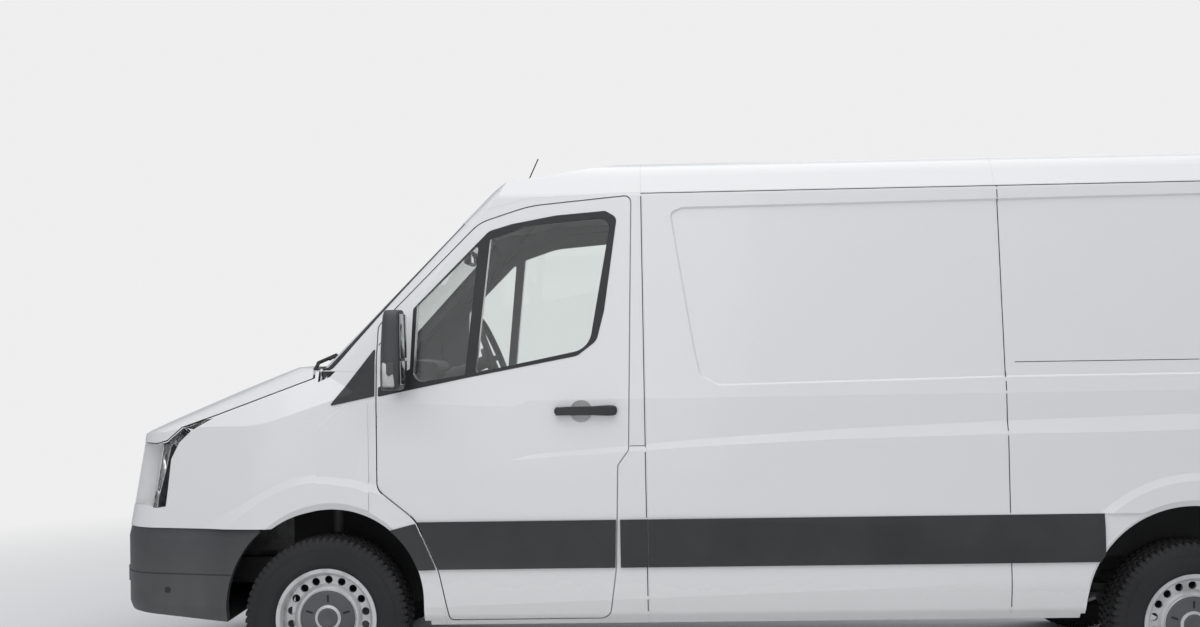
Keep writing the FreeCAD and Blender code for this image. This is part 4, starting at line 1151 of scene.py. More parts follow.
@dataclass
class Wheels:
    """Treaded tyres and the dark centre caps of the wheels."""

    fitter: Fitter
    axles: tuple[tuple[str, float, float], ...] = (("front", -1.955, 0.855), ("rear", 1.710, 0.858))
    hub_height: float = 0.350
    blocks: int = 72
    steps_per_block: int = 8
    groove: float = 8.0
    slot_radius: float = 84.0
    cap: tuple[Point2, ...] = (
        (122.5, 50.0), (122.5, 58.5), (120.0, 60.0), (113.0, 66.0), (108.0, 67.2), (60.0, 61.2),
        (46.0, 62.0), (43.0, 66.5), (40.0, 68.2), (30.0, 68.2), (27.0, 66.5), (0.1, 66.0))
    half_section: tuple[Point2, ...] = (
        (204.0, 84.0), (216.0, 90.0), (221.0, 99.0), (226.0, 105.0), (236.0, 110.5), (240.0, 112.5),
        (243.0, 111.8), (256.0, 115.0), (272.0, 116.8), (286.0, 116.4), (297.0, 115.0), (299.0, 116.0),
        (303.0, 115.6), (305.0, 113.6), (315.0, 111.8), (322.0, 110.4), (331.0, 107.2), (340.0, 102.4),
        (346.0, 97.0))

    def build(self) -> None:
        """Makes the four wheels' pieces."""
        for axle, x, track in self.axles:
            for side, sign in SIDES:
                centre = (x, sign * track, self.hub_height)
                body = f"{axle}_{side}_wheel"
                self._tyre(f"{axle}_{side}", centre, sign, body, f"tyre_{axle}_{side}")
                self._cap(f"{axle}_{side}", centre, sign, body)

    def _section(self) -> list[Point2]:
        """Radius and distance outboard all round a tyre, from bead to bead."""
        half = list(self.half_section)
        across = [96.0 - 3.0 * k for k in range(65)]
        crown = [(350.0 - 1.6 * (w / 96.0) ** 2, w) for w in across]
        return half + crown + [(r, -w) for r, w in reversed(half)]

    def _relief(self, turn: float, outboard: float) -> float:
        """Depth of the tread pattern.

        Args:
            turn: Place round the tyre, 0 to 1.
            outboard: Place across it, in millimetres.

        Returns:
            The depth in millimetres.
        """
        across = abs(outboard)
        swing = 0.12 * math.sin(outboard / 22.0)
        place = (turn * self.blocks + (0.5 if outboard > 0 else 0.0) + swing) % 1.0
        if 38.0 < across < 47.0 or across < 5.0:
            return self.groove
        if across >= 47.0:
            return (self.groove if across < 104.0 else 0.45 * self.groove) if place < 0.3 else 0.0
        return self.groove * 0.9 if 0.45 < place < 0.68 else 0.0

    def _tyre(self, name: str, centre: Point3, sign: float, body: str, node: str) -> None:
        """Makes one tyre.

        Args:
            name: Which tyre.
            centre: The wheel's middle.
            sign: Its side.
            body: The body that it rides on.
            node: The solid that it stands for.
        """
        count = self.blocks * self.steps_per_block
        made = spun(f"tread_{name}", self._section(), centre, sign, count, self._relief)
        self.fitter.fit(smooth(made, 30.0), Finish.TYRE, body)
        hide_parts(node)

    def _cap(self, name: str, centre: Point3, sign: float, body: str) -> None:
        """Makes a centre cap with its five slots, each a black slab laid on the cap: painted shade of the
        slot openings.

        Args:
            name: Which wheel.
            centre: The wheel's middle.
            sign: Its side.
            body: The body that it rides on.
        """
        made = spun(f"cap_{name}", self.cap, centre, sign, 96)
        self.fitter.fit(smooth(made, 40.0), Finish.CAP, body)
        for k in range(5):
            angle = math.radians(90.0 + 72.0 * k)

            def place(u: float, v: float, level: float, angle: float = angle) -> Vector:
                """A point beside a slot's middle, out from the wheel."""
                radius = self.slot_radius + u
                x = radius * math.cos(angle) - v * math.sin(angle)
                z = radius * math.sin(angle) + v * math.cos(angle)
                face = 61.2 + 6.0 * (radius - 60.0) / 48.0
                return Vector(centre) + Vector((x, sign * (face + level), z)) / 1000.0

            slot_corners = ((-16.0, -4.5, 3.0), (16.0, -4.5, 3.0), (16.0, 4.5, 3.0), (-16.0, 4.5, 3.0))
            loop = rounded(slot_corners, 4)
            # Black slabs stand for the slots' openings: painted shade.
            slot = slab(f"cap_slot_{name}_{k}", [loop], place, 0.9, -0.5)
            self.fitter.fit(slot, Finish.SEAL, body)


@dataclass
class Windows:
    """Black surrounds of the side windows."""

    fitter: Fitter
    surround: tuple[Point3, ...] = (
        (-1716, 1297, 6), (-1589, 1322, 0), (-1326, 1373, 0), (-1094, 1415, 0), (-862, 1457, 60),
        (-778, 1520, 60), (-744, 1649, 0), (-684, 2050, 30), (-733, 2079, 20), (-948, 2063, 0),
        (-1136, 2030, 0), (-1236, 2001, 60), (-1716, 1521, 4))
    main_glass: tuple[Point3, ...] = (
        (-1298, 1392, 8), (-812, 1487, 95), (-708, 2052, 42), (-1060, 2024, 300), (-1231, 1968, 12))
    quarter_glass: tuple[Point3, ...] = (
        (-1566, 1352, 40), (-1342, 1384, 8), (-1280, 1952, 10), (-1548, 1688, 25))

    def build(self) -> None:
        """Makes the surrounds on both sides."""
        for side, sign in SIDES:
            def place(x: float, z: float, level: float, sign: float = sign) -> Vector:
                """A point on the door's outer skin."""
                return STANCE(x, sign * (FLANK.out(x, z) + level), z)

            loops = [rounded(self.surround, 6), rounded(self.main_glass), rounded(self.quarter_glass)]
            frame = slab(f"window_surround_{side}", loops, place, 1.6, -3.0)
            self.fitter.fit(frame, Finish.BLACK, f"{side}_cab_door")


SCREEN_SLOPE = math.atan2(785.0, 792.0)
SCREEN_FOOT: Point2 = (-2050.0, 1467.0)
SCREEN_CORNER = 712.0


def screen_point(across: float, up: float, level: float) -> Vector:
    """A point on the windscreen.

    Args:
        across: Distance from the middle, in millimetres.
        up: Distance up the slope from its origin.
        level: Height above the body's surface.

    Returns:
        The point in metres.
    """
    reach = abs(across)
    crown = -reach * reach / 7400.0 if reach < SCREEN_CORNER else 68.0 - 167.0 * reach / 868.0
    out = crown + level
    x = SCREEN_FOOT[0] + up * math.cos(SCREEN_SLOPE) - out * math.sin(SCREEN_SLOPE)
    z = SCREEN_FOOT[1] + up * math.sin(SCREEN_SLOPE) + out * math.cos(SCREEN_SLOPE)
    return STANCE(x, across, z)


def screen_loop(inset_side: float, inset_top: float, inset_bottom: float) -> list[Point2]:
    """The windscreen's outline, drawn in on its sides, top and bottom."""
    top, shoulder = 905.0 - inset_top, 880.0 - inset_top
    foot, bottom = -10.0 + inset_bottom, -60.0 + inset_bottom
    wide_top, wide_foot = 700.0 - inset_side, 790.0 - inset_side
    return rounded([(0, top, 4000), (wide_top, shoulder, 60), (wide_foot, foot, 60), (0, bottom, 5000),
                    (-wide_foot, foot, 60), (-wide_top, shoulder, 60)], 12)


@dataclass
class Windscreen:
    """The windscreen's border, wipers and inside mirror."""

    fitter: Fitter
    nodes: dict[str, bpy.types.Object]
    pivots: tuple[tuple[float, float, float], ...] = ((-600.0, -560.0, 60.0), (40.0, 40.0, 690.0))
    strip: tuple[Point3, ...] = (
        (-44.0, 846.0, 880.0), (120.0, 842.0, 874.0), (420.0, 824.0, 852.0),
        (700.0, 804.0, 834.0), (860.0, 790.0, 816.0), (905.0, 784.0, 790.0))
    strip_levels: tuple[float, ...] = (0.4, 3.0, 3.6, 3.0, 0.4)

    def build(self) -> None:
        """Makes the pieces."""
        skin = Surface(self.nodes[name] for name in ("cab_frame", "roof", "windscreen"))
        for side, sign in SIDES:
            self._side_strip(f"screen_strip_{side}", skin, sign)
        loops = [screen_loop(0.5, 0.5, 0.5), screen_loop(34.0, 50.0, 96.0)]
        border = slab("screen_border", loops, screen_point, -4.6, -5.9)
        self.fitter.fit(border, Finish.BLACK, "van")
        for number, (pivot, start, end) in enumerate(self.pivots):
            self._wiper(f"wiper_{number}", pivot, start, end)
        self._inside_mirror()

    def _side_strip(self, name: str, skin: Surface, sign: float) -> None:
        """The rubber strip along one side of the screen, on the pillar's corner.

        Args:
            name: The piece's name.
            skin: What it lies on.
            sign: Its side.
        """
        def on_skin(across: float, up: float, level: float) -> Vector:
            """A point on the corner, seen square to the slope."""
            above, below = screen_point(sign * across, up, 200.0), screen_point(sign * across, up, -200.0)
            return skin.seen(above, below, level)

        rings = []
        for (up0, in0, out0), (up1, in1, out1) in zip(self.strip, self.strip[1:]):
            for k in range(8):
                share = k / 8.0
                up, inner, outer = (a + (b - a) * share for a, b in ((up0, up1), (in0, in1), (out0, out1)))
                spots = [inner + (outer - inner) * j / 4.0 for j in range(5)]
                rings.append([on_skin(a, up, h) for a, h in zip(spots, self.strip_levels)]
                             + [on_skin(a, up, -1.5) for a in reversed(spots)])
        self.fitter.fit(smooth(loft(name, rings), 40.0), Finish.STRIP, "van")

    def _wiper(self, name: str, pivot: float, start: float, end: float) -> None:
        """A wiper with its pivot cap, arm and blade, parked along the foot of the glass.

        Args:
            name: The piece's name.
            pivot: Place of its pivot across the screen.
            start: Where its blade starts.
            end: Where its blade ends.
        """
        steps = [start + (end - start) * k / 14.0 for k in range(15)]
        rise = [26.0 - 54.0 * (1.0 - (across / 790.0) ** 2) for across in steps]
        blade = tube(f"{name}_blade", [screen_point(a, r + 22.0, 6.0) for a, r in zip(steps, rise)], 0.006, 2)
        self.fitter.fit(blade, Finish.SEAL, "van")
        middle = steps[8]
        lift = 26.0 - 54.0 * (1.0 - (middle / 790.0) ** 2) + 22.0
        base = screen_point(pivot, -82.0, -4.0)
        elbow = screen_point(0.7 * pivot + 0.3 * middle, -40.0, 34.0)
        bends = [base, base + Vector((0, 0, 0.034)), elbow, screen_point(middle, lift, 16.0)]
        arm = tube(f"{name}_arm", bends, 0.0085, 3)
        self.fitter.fit(arm, Finish.SEAL, "van")
        cap = tube(f"{name}_cap", [base, base + Vector((0, 0, 0.04))], 0.019, 5)
        self.fitter.fit(cap, Finish.SEAL, "van")

    def _inside_mirror(self) -> None:
        """The mirror at the top of the screen, on its stalk."""
        bends = [screen_point(0, 800, -12), STANCE(-1440, 0, 1990), STANCE(-1424, 0, 1945)]
        stalk = tube("inside_mirror_stalk", bends, 0.008)
        self.fitter.fit(stalk, Finish.BLACK, "van")
        head = rounded_block("inside_mirror", (-1448, -125, 1900), (-1412, 125, 1972), 14.0, STANCE)
        self.fitter.fit(head, Finish.BLACK, "van")
        pane = rounded_block("inside_mirror_glass", (-1414, -115, 1907), (-1409, 115, 1965), 2.2, STANCE)
        self.fitter.fit(pane, Finish.CHROME, "van")


@dataclass
class DoorFittings:
    """Handles with their locks, and the mirrors."""

    fitter: Fitter

    def build(self) -> None:
        """Makes the fittings of both doors."""
        for side, sign in SIDES:
            body = f"{side}_cab_door"
            self._handle(side, sign, body)
            self._mirror(side, sign, body)

    def _handle(self, side: str, sign: float, body: str) -> None:
        """A pull handle and its lock.

        Args:
            side: Which door.
            sign: Its side.
            body: The body that it rides on.
        """
        height = 1224.0
        stations = (
            (-962, 7, 3), (-956, 13, 7), (-940, 17, 11), (-900, 19, 14), (-850, 19, 15), (-800, 19, 14),
            (-768, 21, 13), (-730, 22.5, 13), (-708, 21, 12), (-699, 15, 8), (-695, 7, 3))
        rings = []
        for x, tall, thick in stations:
            ring = []
            for k in range(20):
                angle = 2.0 * math.pi * k / 20.0
                out = FLANK.out(-850, height) + 3.0 + thick * math.cos(angle)
                ring.append(STANCE(x, sign * out, height + tall * math.sin(angle)))
            rings.append(ring)
        grip = loft(f"handle_{side}", rings)
        self.fitter.fit(smooth(grip, 50.0), Finish.BLACK, body)
        out = FLANK.out(-730, height) + 15.0
        ends = [STANCE(-731, sign * out, height), STANCE(-731, sign * (out + 3.0), height)]
        lock = tube(f"handle_lock_{side}", ends, 0.0125, 6)
        self.fitter.fit(lock, Finish.CHASSIS, body)

    def _mirror(self, side: str, sign: float, body: str) -> None:
        """A door mirror: shell, glass, clear lamp and foot.

        Args:
            side: Which door.
            sign: Its side.
            body: The body that it rides on.
        """
        heights = (
            (1330, 0.55), (1336, 0.82), (1350, 0.95), (1400, 1.0), (1500, 1.0),
            (1600, 0.98), (1640, 0.92), (1656, 0.78), (1663, 0.5))
        bulge = 0.62
        rings = []
        for z, share in heights:
            ring = []
            rise = (z - 1330) / 333.0
            for k in range(28):
                angle = 2.0 * math.pi * k / 28.0
                c, s = math.cos(angle), math.sin(angle)
                y = 1122.0 + 90.0 * share * math.copysign(abs(s) ** bulge, s)
                front, back = -1668.0 + 16.0 * rise * rise, -1578.0 + 3.0 * rise
                middle, half = (front + back) / 2.0, (back - front) / 2.0
                bend = abs(c) ** (0.75 if c < 0 else 0.35)
                x = middle + half * (0.6 + 0.4 * share) * math.copysign(bend, c)
                ring.append(STANCE(x, sign * y, z))
            rings.append(ring)
        shell = loft(f"mirror_shell_{side}", rings)
        self.fitter.fit(smooth(shell, 40.0), Finish.TRIM, body)
        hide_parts(f"mirror_{side}")

        def place(x: float, y: float, z: float) -> Vector:
            """The level body's point on this side."""
            return STANCE(x, sign * y, z)

        foot = rounded_block(f"mirror_foot_{side}", (-1664, 935, 1338), (-1592, 1090, 1380), 12.0, place)
        self.fitter.fit(foot, Finish.TRIM, body)
        for name, low, high in (("upper", 1462, 1646), ("lower", 1352, 1452)):
            pane = rounded_block(
                f"mirror_glass_{name}_{side}", (-1580, 1046, low), (-1574, 1194, high), 2.8, place)
            self.fitter.fit(pane, Finish.MIRROR, body)
        back = rounded_block(f"mirror_lamp_back_{side}", (-1649, 1190, 1347), (-1601, 1211, 1444), 5.0, place)
        self.fitter.fit(back, Finish.WHEEL, body)
        lamp = rounded_block(f"mirror_lamp_{side}", (-1653, 1188, 1343), (-1597, 1215, 1448), 6.0, place)
        self.fitter.fit(lamp, Finish.LENS, body)


@dataclass
class Lamps:
    """Headlamps set back between a painted upright and the wing."""

    fitter: Fitter
    nodes: dict[str, bpy.types.Object]
    upright: float = 0.66
    edge: float = 0.83
    nose: tuple[Point2, ...] = (
        (0.50, -2.896), (0.56, -2.889), (0.60, -2.884), (0.65, -2.877),
        (0.70, -2.864), (0.75, -2.836), (0.80, -2.787), (0.83, -2.733))
    face_slope: float = 0.28
    reflectors: tuple[Point3, ...] = ((0.735, 900.0, 52.0), (0.735, 1010.0, 42.0))
    bowl: tuple[Point2, ...] = (
        (1.0, -9.0), (0.95, -12.0), (0.90, -8.0), (0.72, 9.0), (0.45, 20.0), (0.16, 25.0))

    def build(self) -> None:
        """Makes the lamps."""
        for side, sign in SIDES:
            self._head(side, sign)

    def _depth(self, reach: float) -> float:
        """How far the lamp's face lies behind the nose at a distance from the middle, in metres."""
        inboard = max(0.0, self.edge - reach)
        nose = Flank.along(self.nose, reach)
        return max(0.0, self.nose[-1][1] - self.face_slope * inboard - nose) if inboard else 0.0

    def _head(self, side: str, sign: float) -> None:
        """A headlamp: upright, clear cover, ledge, housing and reflectors.

        Args:
            side: Which lamp.
            sign: Its side.
        """
        shell = self._shell(sign)
        cover = self._sheet(f"lamp_cover_{side}", shell, sign, lambda reach: reach > self.upright, 0.0)
        thick = cover.modifiers.new("thickness", "SOLIDIFY")
        thick.thickness, thick.offset = 0.003, -1.0
        self.fitter.fit(smooth(cover, 30.0), Finish.LENS, "van")
        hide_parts("headlamps")
        housing = self._sheet(f"lamp_housing_{side}", shell, sign, lambda reach: reach > self.upright, 0.034)
        self.fitter.fit(smooth(housing, 30.0), Finish.LAMP_HOUSING, "van")
        ledge = self._ledge(f"lamp_ledge_{side}", shell, sign)
        self.fitter.fit(ledge, Finish.BODY, "van")
        upright = self._sheet(
            f"nose_upright_{side}", shell, sign, lambda reach: reach < self.upright + 0.001, None)
        thick = upright.modifiers.new("thickness", "SOLIDIFY")
        thick.thickness, thick.offset = 0.003, -1.0
        self.fitter.fit(smooth(upright, 30.0), Finish.BODY, "van")
        shell.free()
        for number, (reach, height, radius) in enumerate(self.reflectors):
            self._reflector(f"lamp_reflector_{number}_{side}", reach, height, radius, sign)

    def _shell(self, sign: float) -> bmesh.types.BMesh:
        """The outer faces of one lamp, cut finely enough to be set back.

        Args:
            sign: Which side.

        Returns:
            The faces, to be freed after use.
        """
        outward_way = Vector((-1.0, 0.75 * sign, 0.35)).normalized()
        work = bmesh.new()
        work.from_mesh(self.nodes["headlamps"].data)
        spare = [face for face in work.faces
                 if face.calc_center_median().y * sign < 0 or face.normal.dot(outward_way) <= 0.25]
        bmesh.ops.delete(work, geom=spare, context="FACES")
        bmesh.ops.remove_doubles(work, verts=work.verts, dist=1e-5)
        cuts = [self.upright, self.edge] + [0.48 + 0.01 * k for k in range(36)]
        for reach in sorted(set(cuts)):
            everything = list(work.verts) + list(work.edges) + list(work.faces)
            bmesh.ops.bisect_plane(work, geom=everything, dist=1e-6,
                                   plane_co=(0.0, sign * reach, 0.0), plane_no=(0.0, 1.0, 0.0))
        return work

    def _sheet(self, name: str, shell: bmesh.types.BMesh, sign: float, keep: Callable[[float], bool],
               behind: Optional[float]) -> bpy.types.Object:
        """Part of the lamp's face, set back.

        Args:
            name: The piece's name.
            shell: The lamp's outer faces.
            sign: Its side.
            keep: Chooses faces by their middle's distance from the body's middle.
            behind: How far behind the lamp's face it lies, or None to leave it on the nose.

        Returns:
            The piece.
        """
        work = shell.copy()
        spare = [face for face in work.faces if not keep(face.calc_center_median().y * sign)]
        bmesh.ops.delete(work, geom=spare, context="FACES")
        if behind is not None:
            for vertex in work.verts:
                vertex.co.x += self._depth(vertex.co.y * sign) + behind
                vertex.co.y -= 0.45 * behind * sign
        mesh = bpy.data.meshes.new(name)
        work.to_mesh(mesh)
        work.free()
        made = bpy.data.objects.new(name, mesh)
        bpy.context.scene.collection.objects.link(made)
        return made

    def _ledge(self, name: str, shell: bmesh.types.BMesh, sign: float) -> bpy.types.Object:
        """The painted walls between the nose and the lamp set back in it.

        Args:
            name: The piece's name.
            shell: The lamp's outer faces.
            sign: Its side.

        Returns:
            The piece.
        """
        points: list[Vector] = []
        faces = []
        for edge in shell.edges:
            middle = (edge.verts[0].co.y + edge.verts[1].co.y) / 2.0 * sign
            at_upright = all(abs(vertex.co.y * sign - self.upright) < 1e-4 for vertex in edge.verts)
            if not at_upright and (middle < self.upright or len(edge.link_faces) != 1):
                continue
            near, far = [vertex.co.copy() for vertex in edge.verts], []
            for vertex in near:
                far.append(vertex + Vector((self._depth(vertex.y * sign) + 0.036, -0.0162 * sign, 0.0)))
            start = len(points)
            points += [near[0], near[1], far[1], far[0]]
            faces.append((start, start + 1, start + 2, start + 3))
        made = build_mesh(name, points, faces)
        outward(made)
        thick = made.modifiers.new("thickness", "SOLIDIFY")
        thick.thickness, thick.offset = 0.0015, 0.0
        return smooth(made, 30.0)

    def _reflector(self, name: str, reach: float, height: float, radius: float, sign: float) -> None:
        """A bowl with a bright rim behind the cover.

        Args:
            name: The piece's name.
            reach: Its distance from the body's middle, in metres.
            height: Its height on the level body, in millimetres.
            radius: Its radius in millimetres.
            sign: Its side.
        """
        nose = 1000.0 * (Flank.along(self.nose, reach) + self._depth(reach)) + 0.2 * (height - 850.0)
        middle = STANCE(nose + 26.0, sign * (1000.0 * reach - 6.0), height)
        rings = []
        for share, depth in self.bowl:
            ring = []
            for k in range(40):
                angle = 2.0 * math.pi * k / 40.0
                across, up = radius * share * math.cos(angle), radius * share * math.sin(angle)
                ring.append(middle + Vector((depth, across, up)) / 1000.0)
            rings.append(ring)
        bowl = loft(name, rings)
        self.fitter.fit(smooth(bowl, 50.0), Finish.CHROME, "van")


@dataclass(frozen=True)
class Pad:
    """A padded piece: its outline from the side, its reach across, and where it is sewn down."""

    name: str
    outline: tuple[Point3, ...]
    across: Point2
    sewn_across: tuple[float, ...] = ()
    sewn_up: tuple[float, ...] = ()
    rests: str = "below"
    cap: float = 0.018
    voxel: float = 0.008

    def blank(self) -> bpy.types.Object:
        """The unstuffed form, its ends rounded over."""
        loop = rounded(self.outline, 6)
        middle = sum((Vector(point) for point in loop), Vector((0.0, 0.0))) / len(loop)
        low, high = self.across
        stations = ((0.0, 0.62), (5.0, 0.76), (14.0, 0.88), (28.0, 0.96), (46.0, 1.0))
        ends = [(low + inset, share) for inset, share in stations]
        ends += [(high - inset, share) for inset, share in reversed(stations)]
        rings = []
        for y, share in ends:
            drawn_in = [middle + (Vector(point) - middle) * share for point in loop]
            rings.append([STANCE(point.x, y, point.y) for point in drawn_in])
        return loft(self.name, rings)


class Upholsterer:
    """Turns a pad's blank into stuffed cloth by inflating it between its seams."""

    frames = 20
    pressure = 4.0

    def stuff(self, pad: Pad) -> bpy.types.Object:
        """Makes a pad.

        Args:
            pad: The pad.

        Returns:
            The piece.
        """
        made = pad.blank()
        remesh = made.modifiers.new("remesh", "REMESH")
        remesh.mode, remesh.voxel_size = "VOXEL", pad.voxel
        self._apply(made)
        self._inflate(made, pad)
        return smooth(made, 70.0)

    @staticmethod
    def _apply(made: bpy.types.Object) -> None:
        """Writes an object's modifiers into its mesh.

        Args:
            made: The object.
        """
        graph = bpy.context.evaluated_depsgraph_get()
        mesh = bpy.data.meshes.new_from_object(made.evaluated_get(graph))
        made.modifiers.clear()
        old, made.data = made.data, mesh
        bpy.data.meshes.remove(old)

    def _inflate(self, made: bpy.types.Object, pad: Pad) -> None:
        """Blows the cloth up with its seams and its resting side held.

        Args:
            made: The remeshed blank.
            pad: The pad.
        """
        start = [vertex.co.copy() for vertex in made.data.vertices]
        held = made.vertex_groups.new(name="held")
        indices = [vertex.index for vertex in made.data.vertices if self._is_held(vertex, pad)]
        held.add(indices, 1.0, "REPLACE")
        cloth = made.modifiers.new("cloth", "CLOTH")
        cloth.settings.quality = 4
        cloth.settings.mass = 0.3
        cloth.settings.use_pressure = True
        cloth.settings.uniform_pressure_force = self.pressure
        cloth.settings.vertex_group_mass = "held"
        cloth.settings.effector_weights.gravity = 0.0
        cloth.collision_settings.use_collision = False
        cloth.point_cache.frame_end = self.frames
        scene = bpy.context.scene
        for frame in range(1, self.frames + 1):
            scene.frame_set(frame)
        self._apply(made)
        scene.frame_set(1)
        for vertex, before in zip(made.data.vertices, start):
            move = vertex.co - before
            if move.length > pad.cap:
                vertex.co = before + move.normalized() * pad.cap
        made.vertex_groups.clear()

    @staticmethod
    def _is_held(vertex: bpy.types.MeshVertex, pad: Pad) -> bool:
        """Whether a point is sewn or rests on something."""
        way = Vector((0.0, 0.0, -1.0)) if pad.rests == "below" else Vector((0.96, 0.0, -0.27))
        if vertex.normal.dot(way) > 0.8:
            return True
        near = 0.0055
        across = any(abs(vertex.co.y - y / 1000.0) < near for y in pad.sewn_across)
        level = STANCE.level(vertex.co)
        up = any(abs((level[2] if pad.rests == "behind" else level[0]) - place) < 1000.0 * near
                 for place in pad.sewn_up)
        return across or up


SEAT_BACK: tuple[Point3, ...] = ((-962, 905, 35), (-885, 885, 30), (-700, 1555, 38), (-788, 1566, 45))
CUSHION: tuple[Point3, ...] = ((-1332, 858, 25), (-1342, 972, 48), (-905, 932, 36), (-895, 858, 12))
HEADREST: tuple[Point3, ...] = ((-784, 1606, 24), (-706, 1598, 22), (-697, 1762, 30), (-764, 1766, 34))
PADS: tuple[Pad, ...] = (
    Pad("driver_cushion", CUSHION, (-672, -168), (-570, -270), (-1215, -1040)),
    Pad("driver_back", SEAT_BACK, (-672, -168), (-565, -275), (1120, 1330), "behind"),
    Pad("driver_headrest", HEADREST, (-545, -295), (), (), "behind", 0.010, 0.006),
    Pad("bench_cushion", CUSHION, (8, 822), (100, 415, 730), (-1215, -1040)),
    Pad("bench_back", SEAT_BACK, (8, 822), (100, 415, 730), (1120, 1330), "behind"),
    Pad("middle_headrest", HEADREST, (90, 340), (), (), "behind", 0.010, 0.006),
    Pad("outer_headrest", HEADREST, (490, 740), (), (), "behind", 0.010, 0.006),
)


@dataclass
class Seats:
    """Padded seats on their boxes, with headrest posts and adjusters."""

    fitter: Fitter
    places: tuple[tuple[str, Point2, tuple[float, ...]], ...] = (
        ("driver", (-680.0, -160.0), (-420.0,)), ("bench", (0.0, 830.0), (215.0, 615.0)))

    def build(self) -> None:
        """Makes both seats."""
        upholsterer = Upholsterer()
        for pad in PADS:
            made = self.fitter.fit(upholsterer.stuff(pad), Finish.SEAT, "van")
            if pad.name == "driver_cushion":
                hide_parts("seats")
            self._threads(pad, made)
        for name, (low, high), heads in self.places:
            box = rounded_block(
                f"{name}_seat_box", (-1290, low + 50, 596), (-868, high - 50, 856), 14.0, STANCE)
            self.fitter.fit(box, Finish.DASH, "van")
            shell = rounded_block(
                f"{name}_seat_shell", (-1318, low + 14, 838), (-884, high - 14, 872), 14.0, STANCE)
            self.fitter.fit(shell, Finish.BLACK, "van")
            for y in heads:
                for side in (-60.0, 60.0):
                    ends = [STANCE(-763, y + side, 1520), STANCE(-744, y + side, 1640)]
                    post = tube(f"{name}_post_{round(y + side)}", ends, 0.006)
                    self.fitter.fit(post, Finish.CHROME, "van")
            ends = [STANCE(-925, low + 6, 920), STANCE(-925, low - 16, 920)]
            knob = tube(f"{name}_seat_knob", ends, 0.028, 5)
            self.fitter.fit(knob, Finish.BLACK, "van")

    def _threads(self, pad: Pad, made: bpy.types.Object) -> None:
        """Lays the sewn lines on a pad.

        Args:
            pad: The pad.
            made: Its piece.
        """
        surface = Surface([made])
        low, high = pad.across
        if pad.rests == "below":
            place = surface.above()
            routes = [((-1312.0, y), (-925.0, y)) for y in pad.sewn_across]
            routes += [((x, low + 30.0), (x, high - 30.0)) for x in pad.sewn_up]
        else:
            place = surface.end(-1.0)
            routes = [((y, 940.0), (y, 1540.0)) for y in pad.sewn_across]
            routes += [((low + 30.0, z), (high - 30.0, z)) for z in pad.sewn_up]
        for number, route in enumerate(routes):
            thread = seam(f"{pad.name}_thread_{number}", route, place, 3.0, 12.0)
            self.fitter.fit(thread, Finish.SEAL, "van")


@dataclass
class Outside:
    """Small fittings outside: aerial, bumper plugs, rear door handle and lock, and high brake lamp."""

    fitter: Fitter
    nodes: dict[str, bpy.types.Object]

    def build(self) -> None:
        """Makes the fittings."""
        roof = Surface([self.nodes["roof"]]).above()
        base = roof(-1139.0, -300.0, 0.0)
        tip = STANCE(-1064.0, -300.0, 2381.0)
        foot = tube("aerial_foot", [base + Vector((-0.01, 0, -0.004)), base + (tip - base) * 0.12], 0.011, 5)
        self.fitter.fit(foot, Finish.SEAL, "van")
        self.fitter.fit(tube("aerial_rod", [base, tip], 0.0028, 3), Finish.SEAL, "van")
        for side, sign in SIDES:
            place = Surface([self.nodes["front_bumper"]]).beside(sign)
            disc = [(-2671.0 + 14.0 * math.cos(a), 469.0 + 14.0 * math.sin(a))
                    for a in (2.0 * math.pi * k / 28.0 for k in range(28))]
            self.fitter.fit(slab(f"bumper_plug_{side}", [disc], place, 1.4, -1.0), Finish.BLACK, "van")
        self._rear()

    def _rear(self) -> None:
        """The handle and lock of the rear doors, and the lamp above them."""
        body = "right_rear_door"
        place = Surface([self.nodes["rear_door_right"]]).end(1.0)
        loop = rounded([(40, 985, 18), (215, 985, 26), (215, 1060, 26), (40, 1060, 18)])
        self.fitter.fit(slab("rear_handle_plate", [loop], place, 9.0, -1.0), Finish.BLACK, body)
        bends = [place(y, 1008, level) for y, level in ((60, 8), (66, 30), (188, 30), (194, 8))]
        grip = tube("rear_handle", bends, 0.009, 4)
        self.fitter.fit(grip, Finish.BLACK, body)
        lock = tube("rear_lock", [place(120, 1043, 6), place(120, 1043, 12)], 0.011, 5)
        self.fitter.fit(lock, Finish.CHROME, body)
        roof = Surface([self.nodes["roof"]]).end(1.0)
        loop = rounded([(-130, 2196, 8), (130, 2196, 8), (130, 2222, 8), (-130, 2222, 8)], 4)
        lamp = slab("high_brake_lamp", [loop], roof, 6.0, -1.0)
        self.fitter.fit(lamp, Finish.RED, "van")


@dataclass(frozen=True)
class Seam:
    """One dark line, a joint or a groove's painted shade: what it lies on, how it is seen, and its route in
    the level body's millimetres.
    """

    name: str
    nodes: tuple[str, ...]
    route: tuple[Point2, ...]
    sides: tuple[float, ...] = (-1.0, 1.0)
    width: float = 4.0
    seen_from: str = "beside"


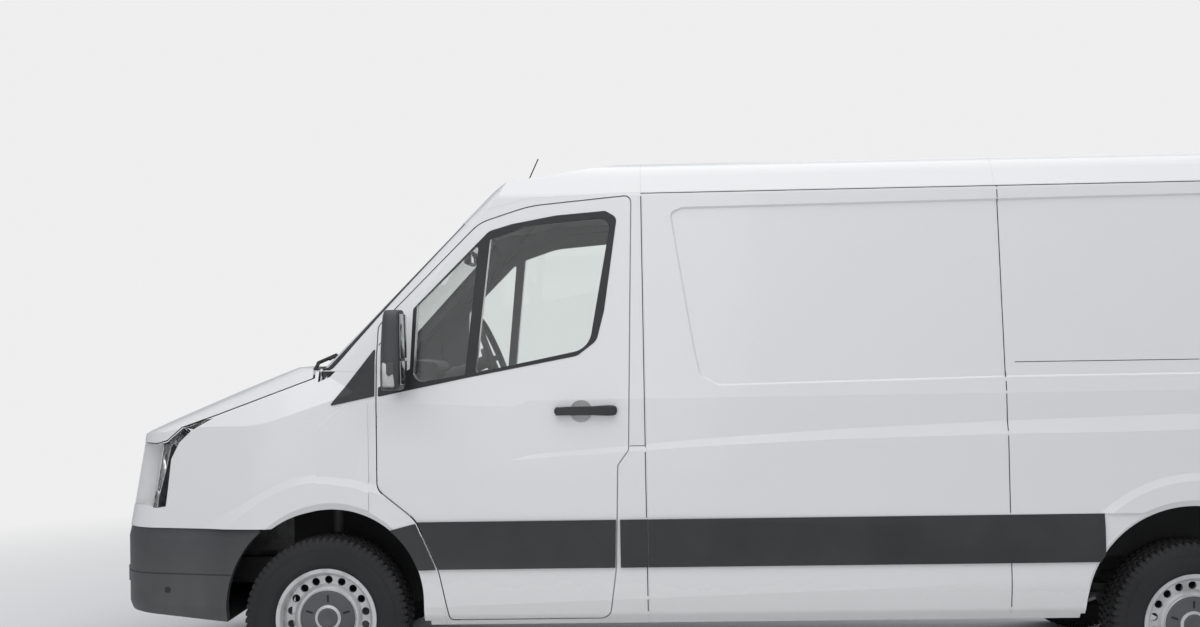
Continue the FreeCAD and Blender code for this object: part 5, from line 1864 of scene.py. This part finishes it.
PANELS = ("roof", "cab_frame", "mid_side_panels", "sliding_door", "rear_side_panels", "front_wings")
SEAMS: tuple[Seam, ...] = (
    Seam("b_seam", PANELS, ((-579, 2140), (-579, 770))),
    Seam("b_seam_low", PANELS, ((-579, 562), (-579, 352))),
    Seam("c_seam", PANELS, ((942, 2150), (942, 770))),
    Seam("c_seam_low", PANELS, ((942, 562), (942, 352))),
    Seam("roof_seam", PANELS, ((-579, 2152), (2880, 2152)), width=3.5),
    Seam("rear_header_joint", PANELS, ((-790, 2156), (790, 2156)), (1.0,), 4.0, "behind"),
    Seam("roof_joint_front", ("roof",), ((-579, -740), (-579, 740)), (1.0,), 6.0, "above"),
    Seam("roof_joint_rear", ("roof",), ((932, -740), (932, 740)), (1.0,), 6.0, "above"),
    # A dark line laid in the rear panels' stamped groove: painted shade, not a joint.
    Seam("rear_groove_shade", ("rear_side_panels",), ((984, 1399), (1751, 1397)), width=3.0),
    Seam("fuel_flap_top", ("cab_frame",), ((-645, 1072), (-582, 1072)), (-1.0,), 3.0),
)


@dataclass
class Joints:
    """Dark lines where fixed panels meet, and a line of painted shade along the rear panels' groove."""

    fitter: Fitter
    nodes: dict[str, bpy.types.Object]

    def build(self) -> None:
        """Lays every line."""
        for line in SEAMS:
            surface = Surface(self.nodes[name] for name in line.nodes)
            for sign in line.sides:
                views = {"beside": surface.beside(sign), "above": surface.above(), "behind": surface.end(1.0)}
                place = views[line.seen_from]
                made = seam(f"{line.name}_{'left' if sign < 0 else 'right'}", line.route, place, line.width)
                self.fitter.fit(made, Finish.SEAL, "van")


def main() -> None:
    """Dresses the van and lights it."""
    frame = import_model()
    palette = Palette()
    Studio().build()
    LOG.info("studio")
    CarriedParts(palette).dress(frame["nodes"])
    LOG.info("carried parts")
    fitter = Fitter(palette)
    nodes = frame["nodes"]
    assemblies = (
        Wheels(fitter), Windows(fitter), Windscreen(fitter, nodes), DoorFittings(fitter),
        Lamps(fitter, nodes), Joints(fitter, nodes), Seats(fitter), Outside(fitter, nodes))
    for assembly in assemblies:
        assembly.build()


if __name__ == "__main__":
    logging.basicConfig(level=logging.INFO, format="%(message)s")
    main()
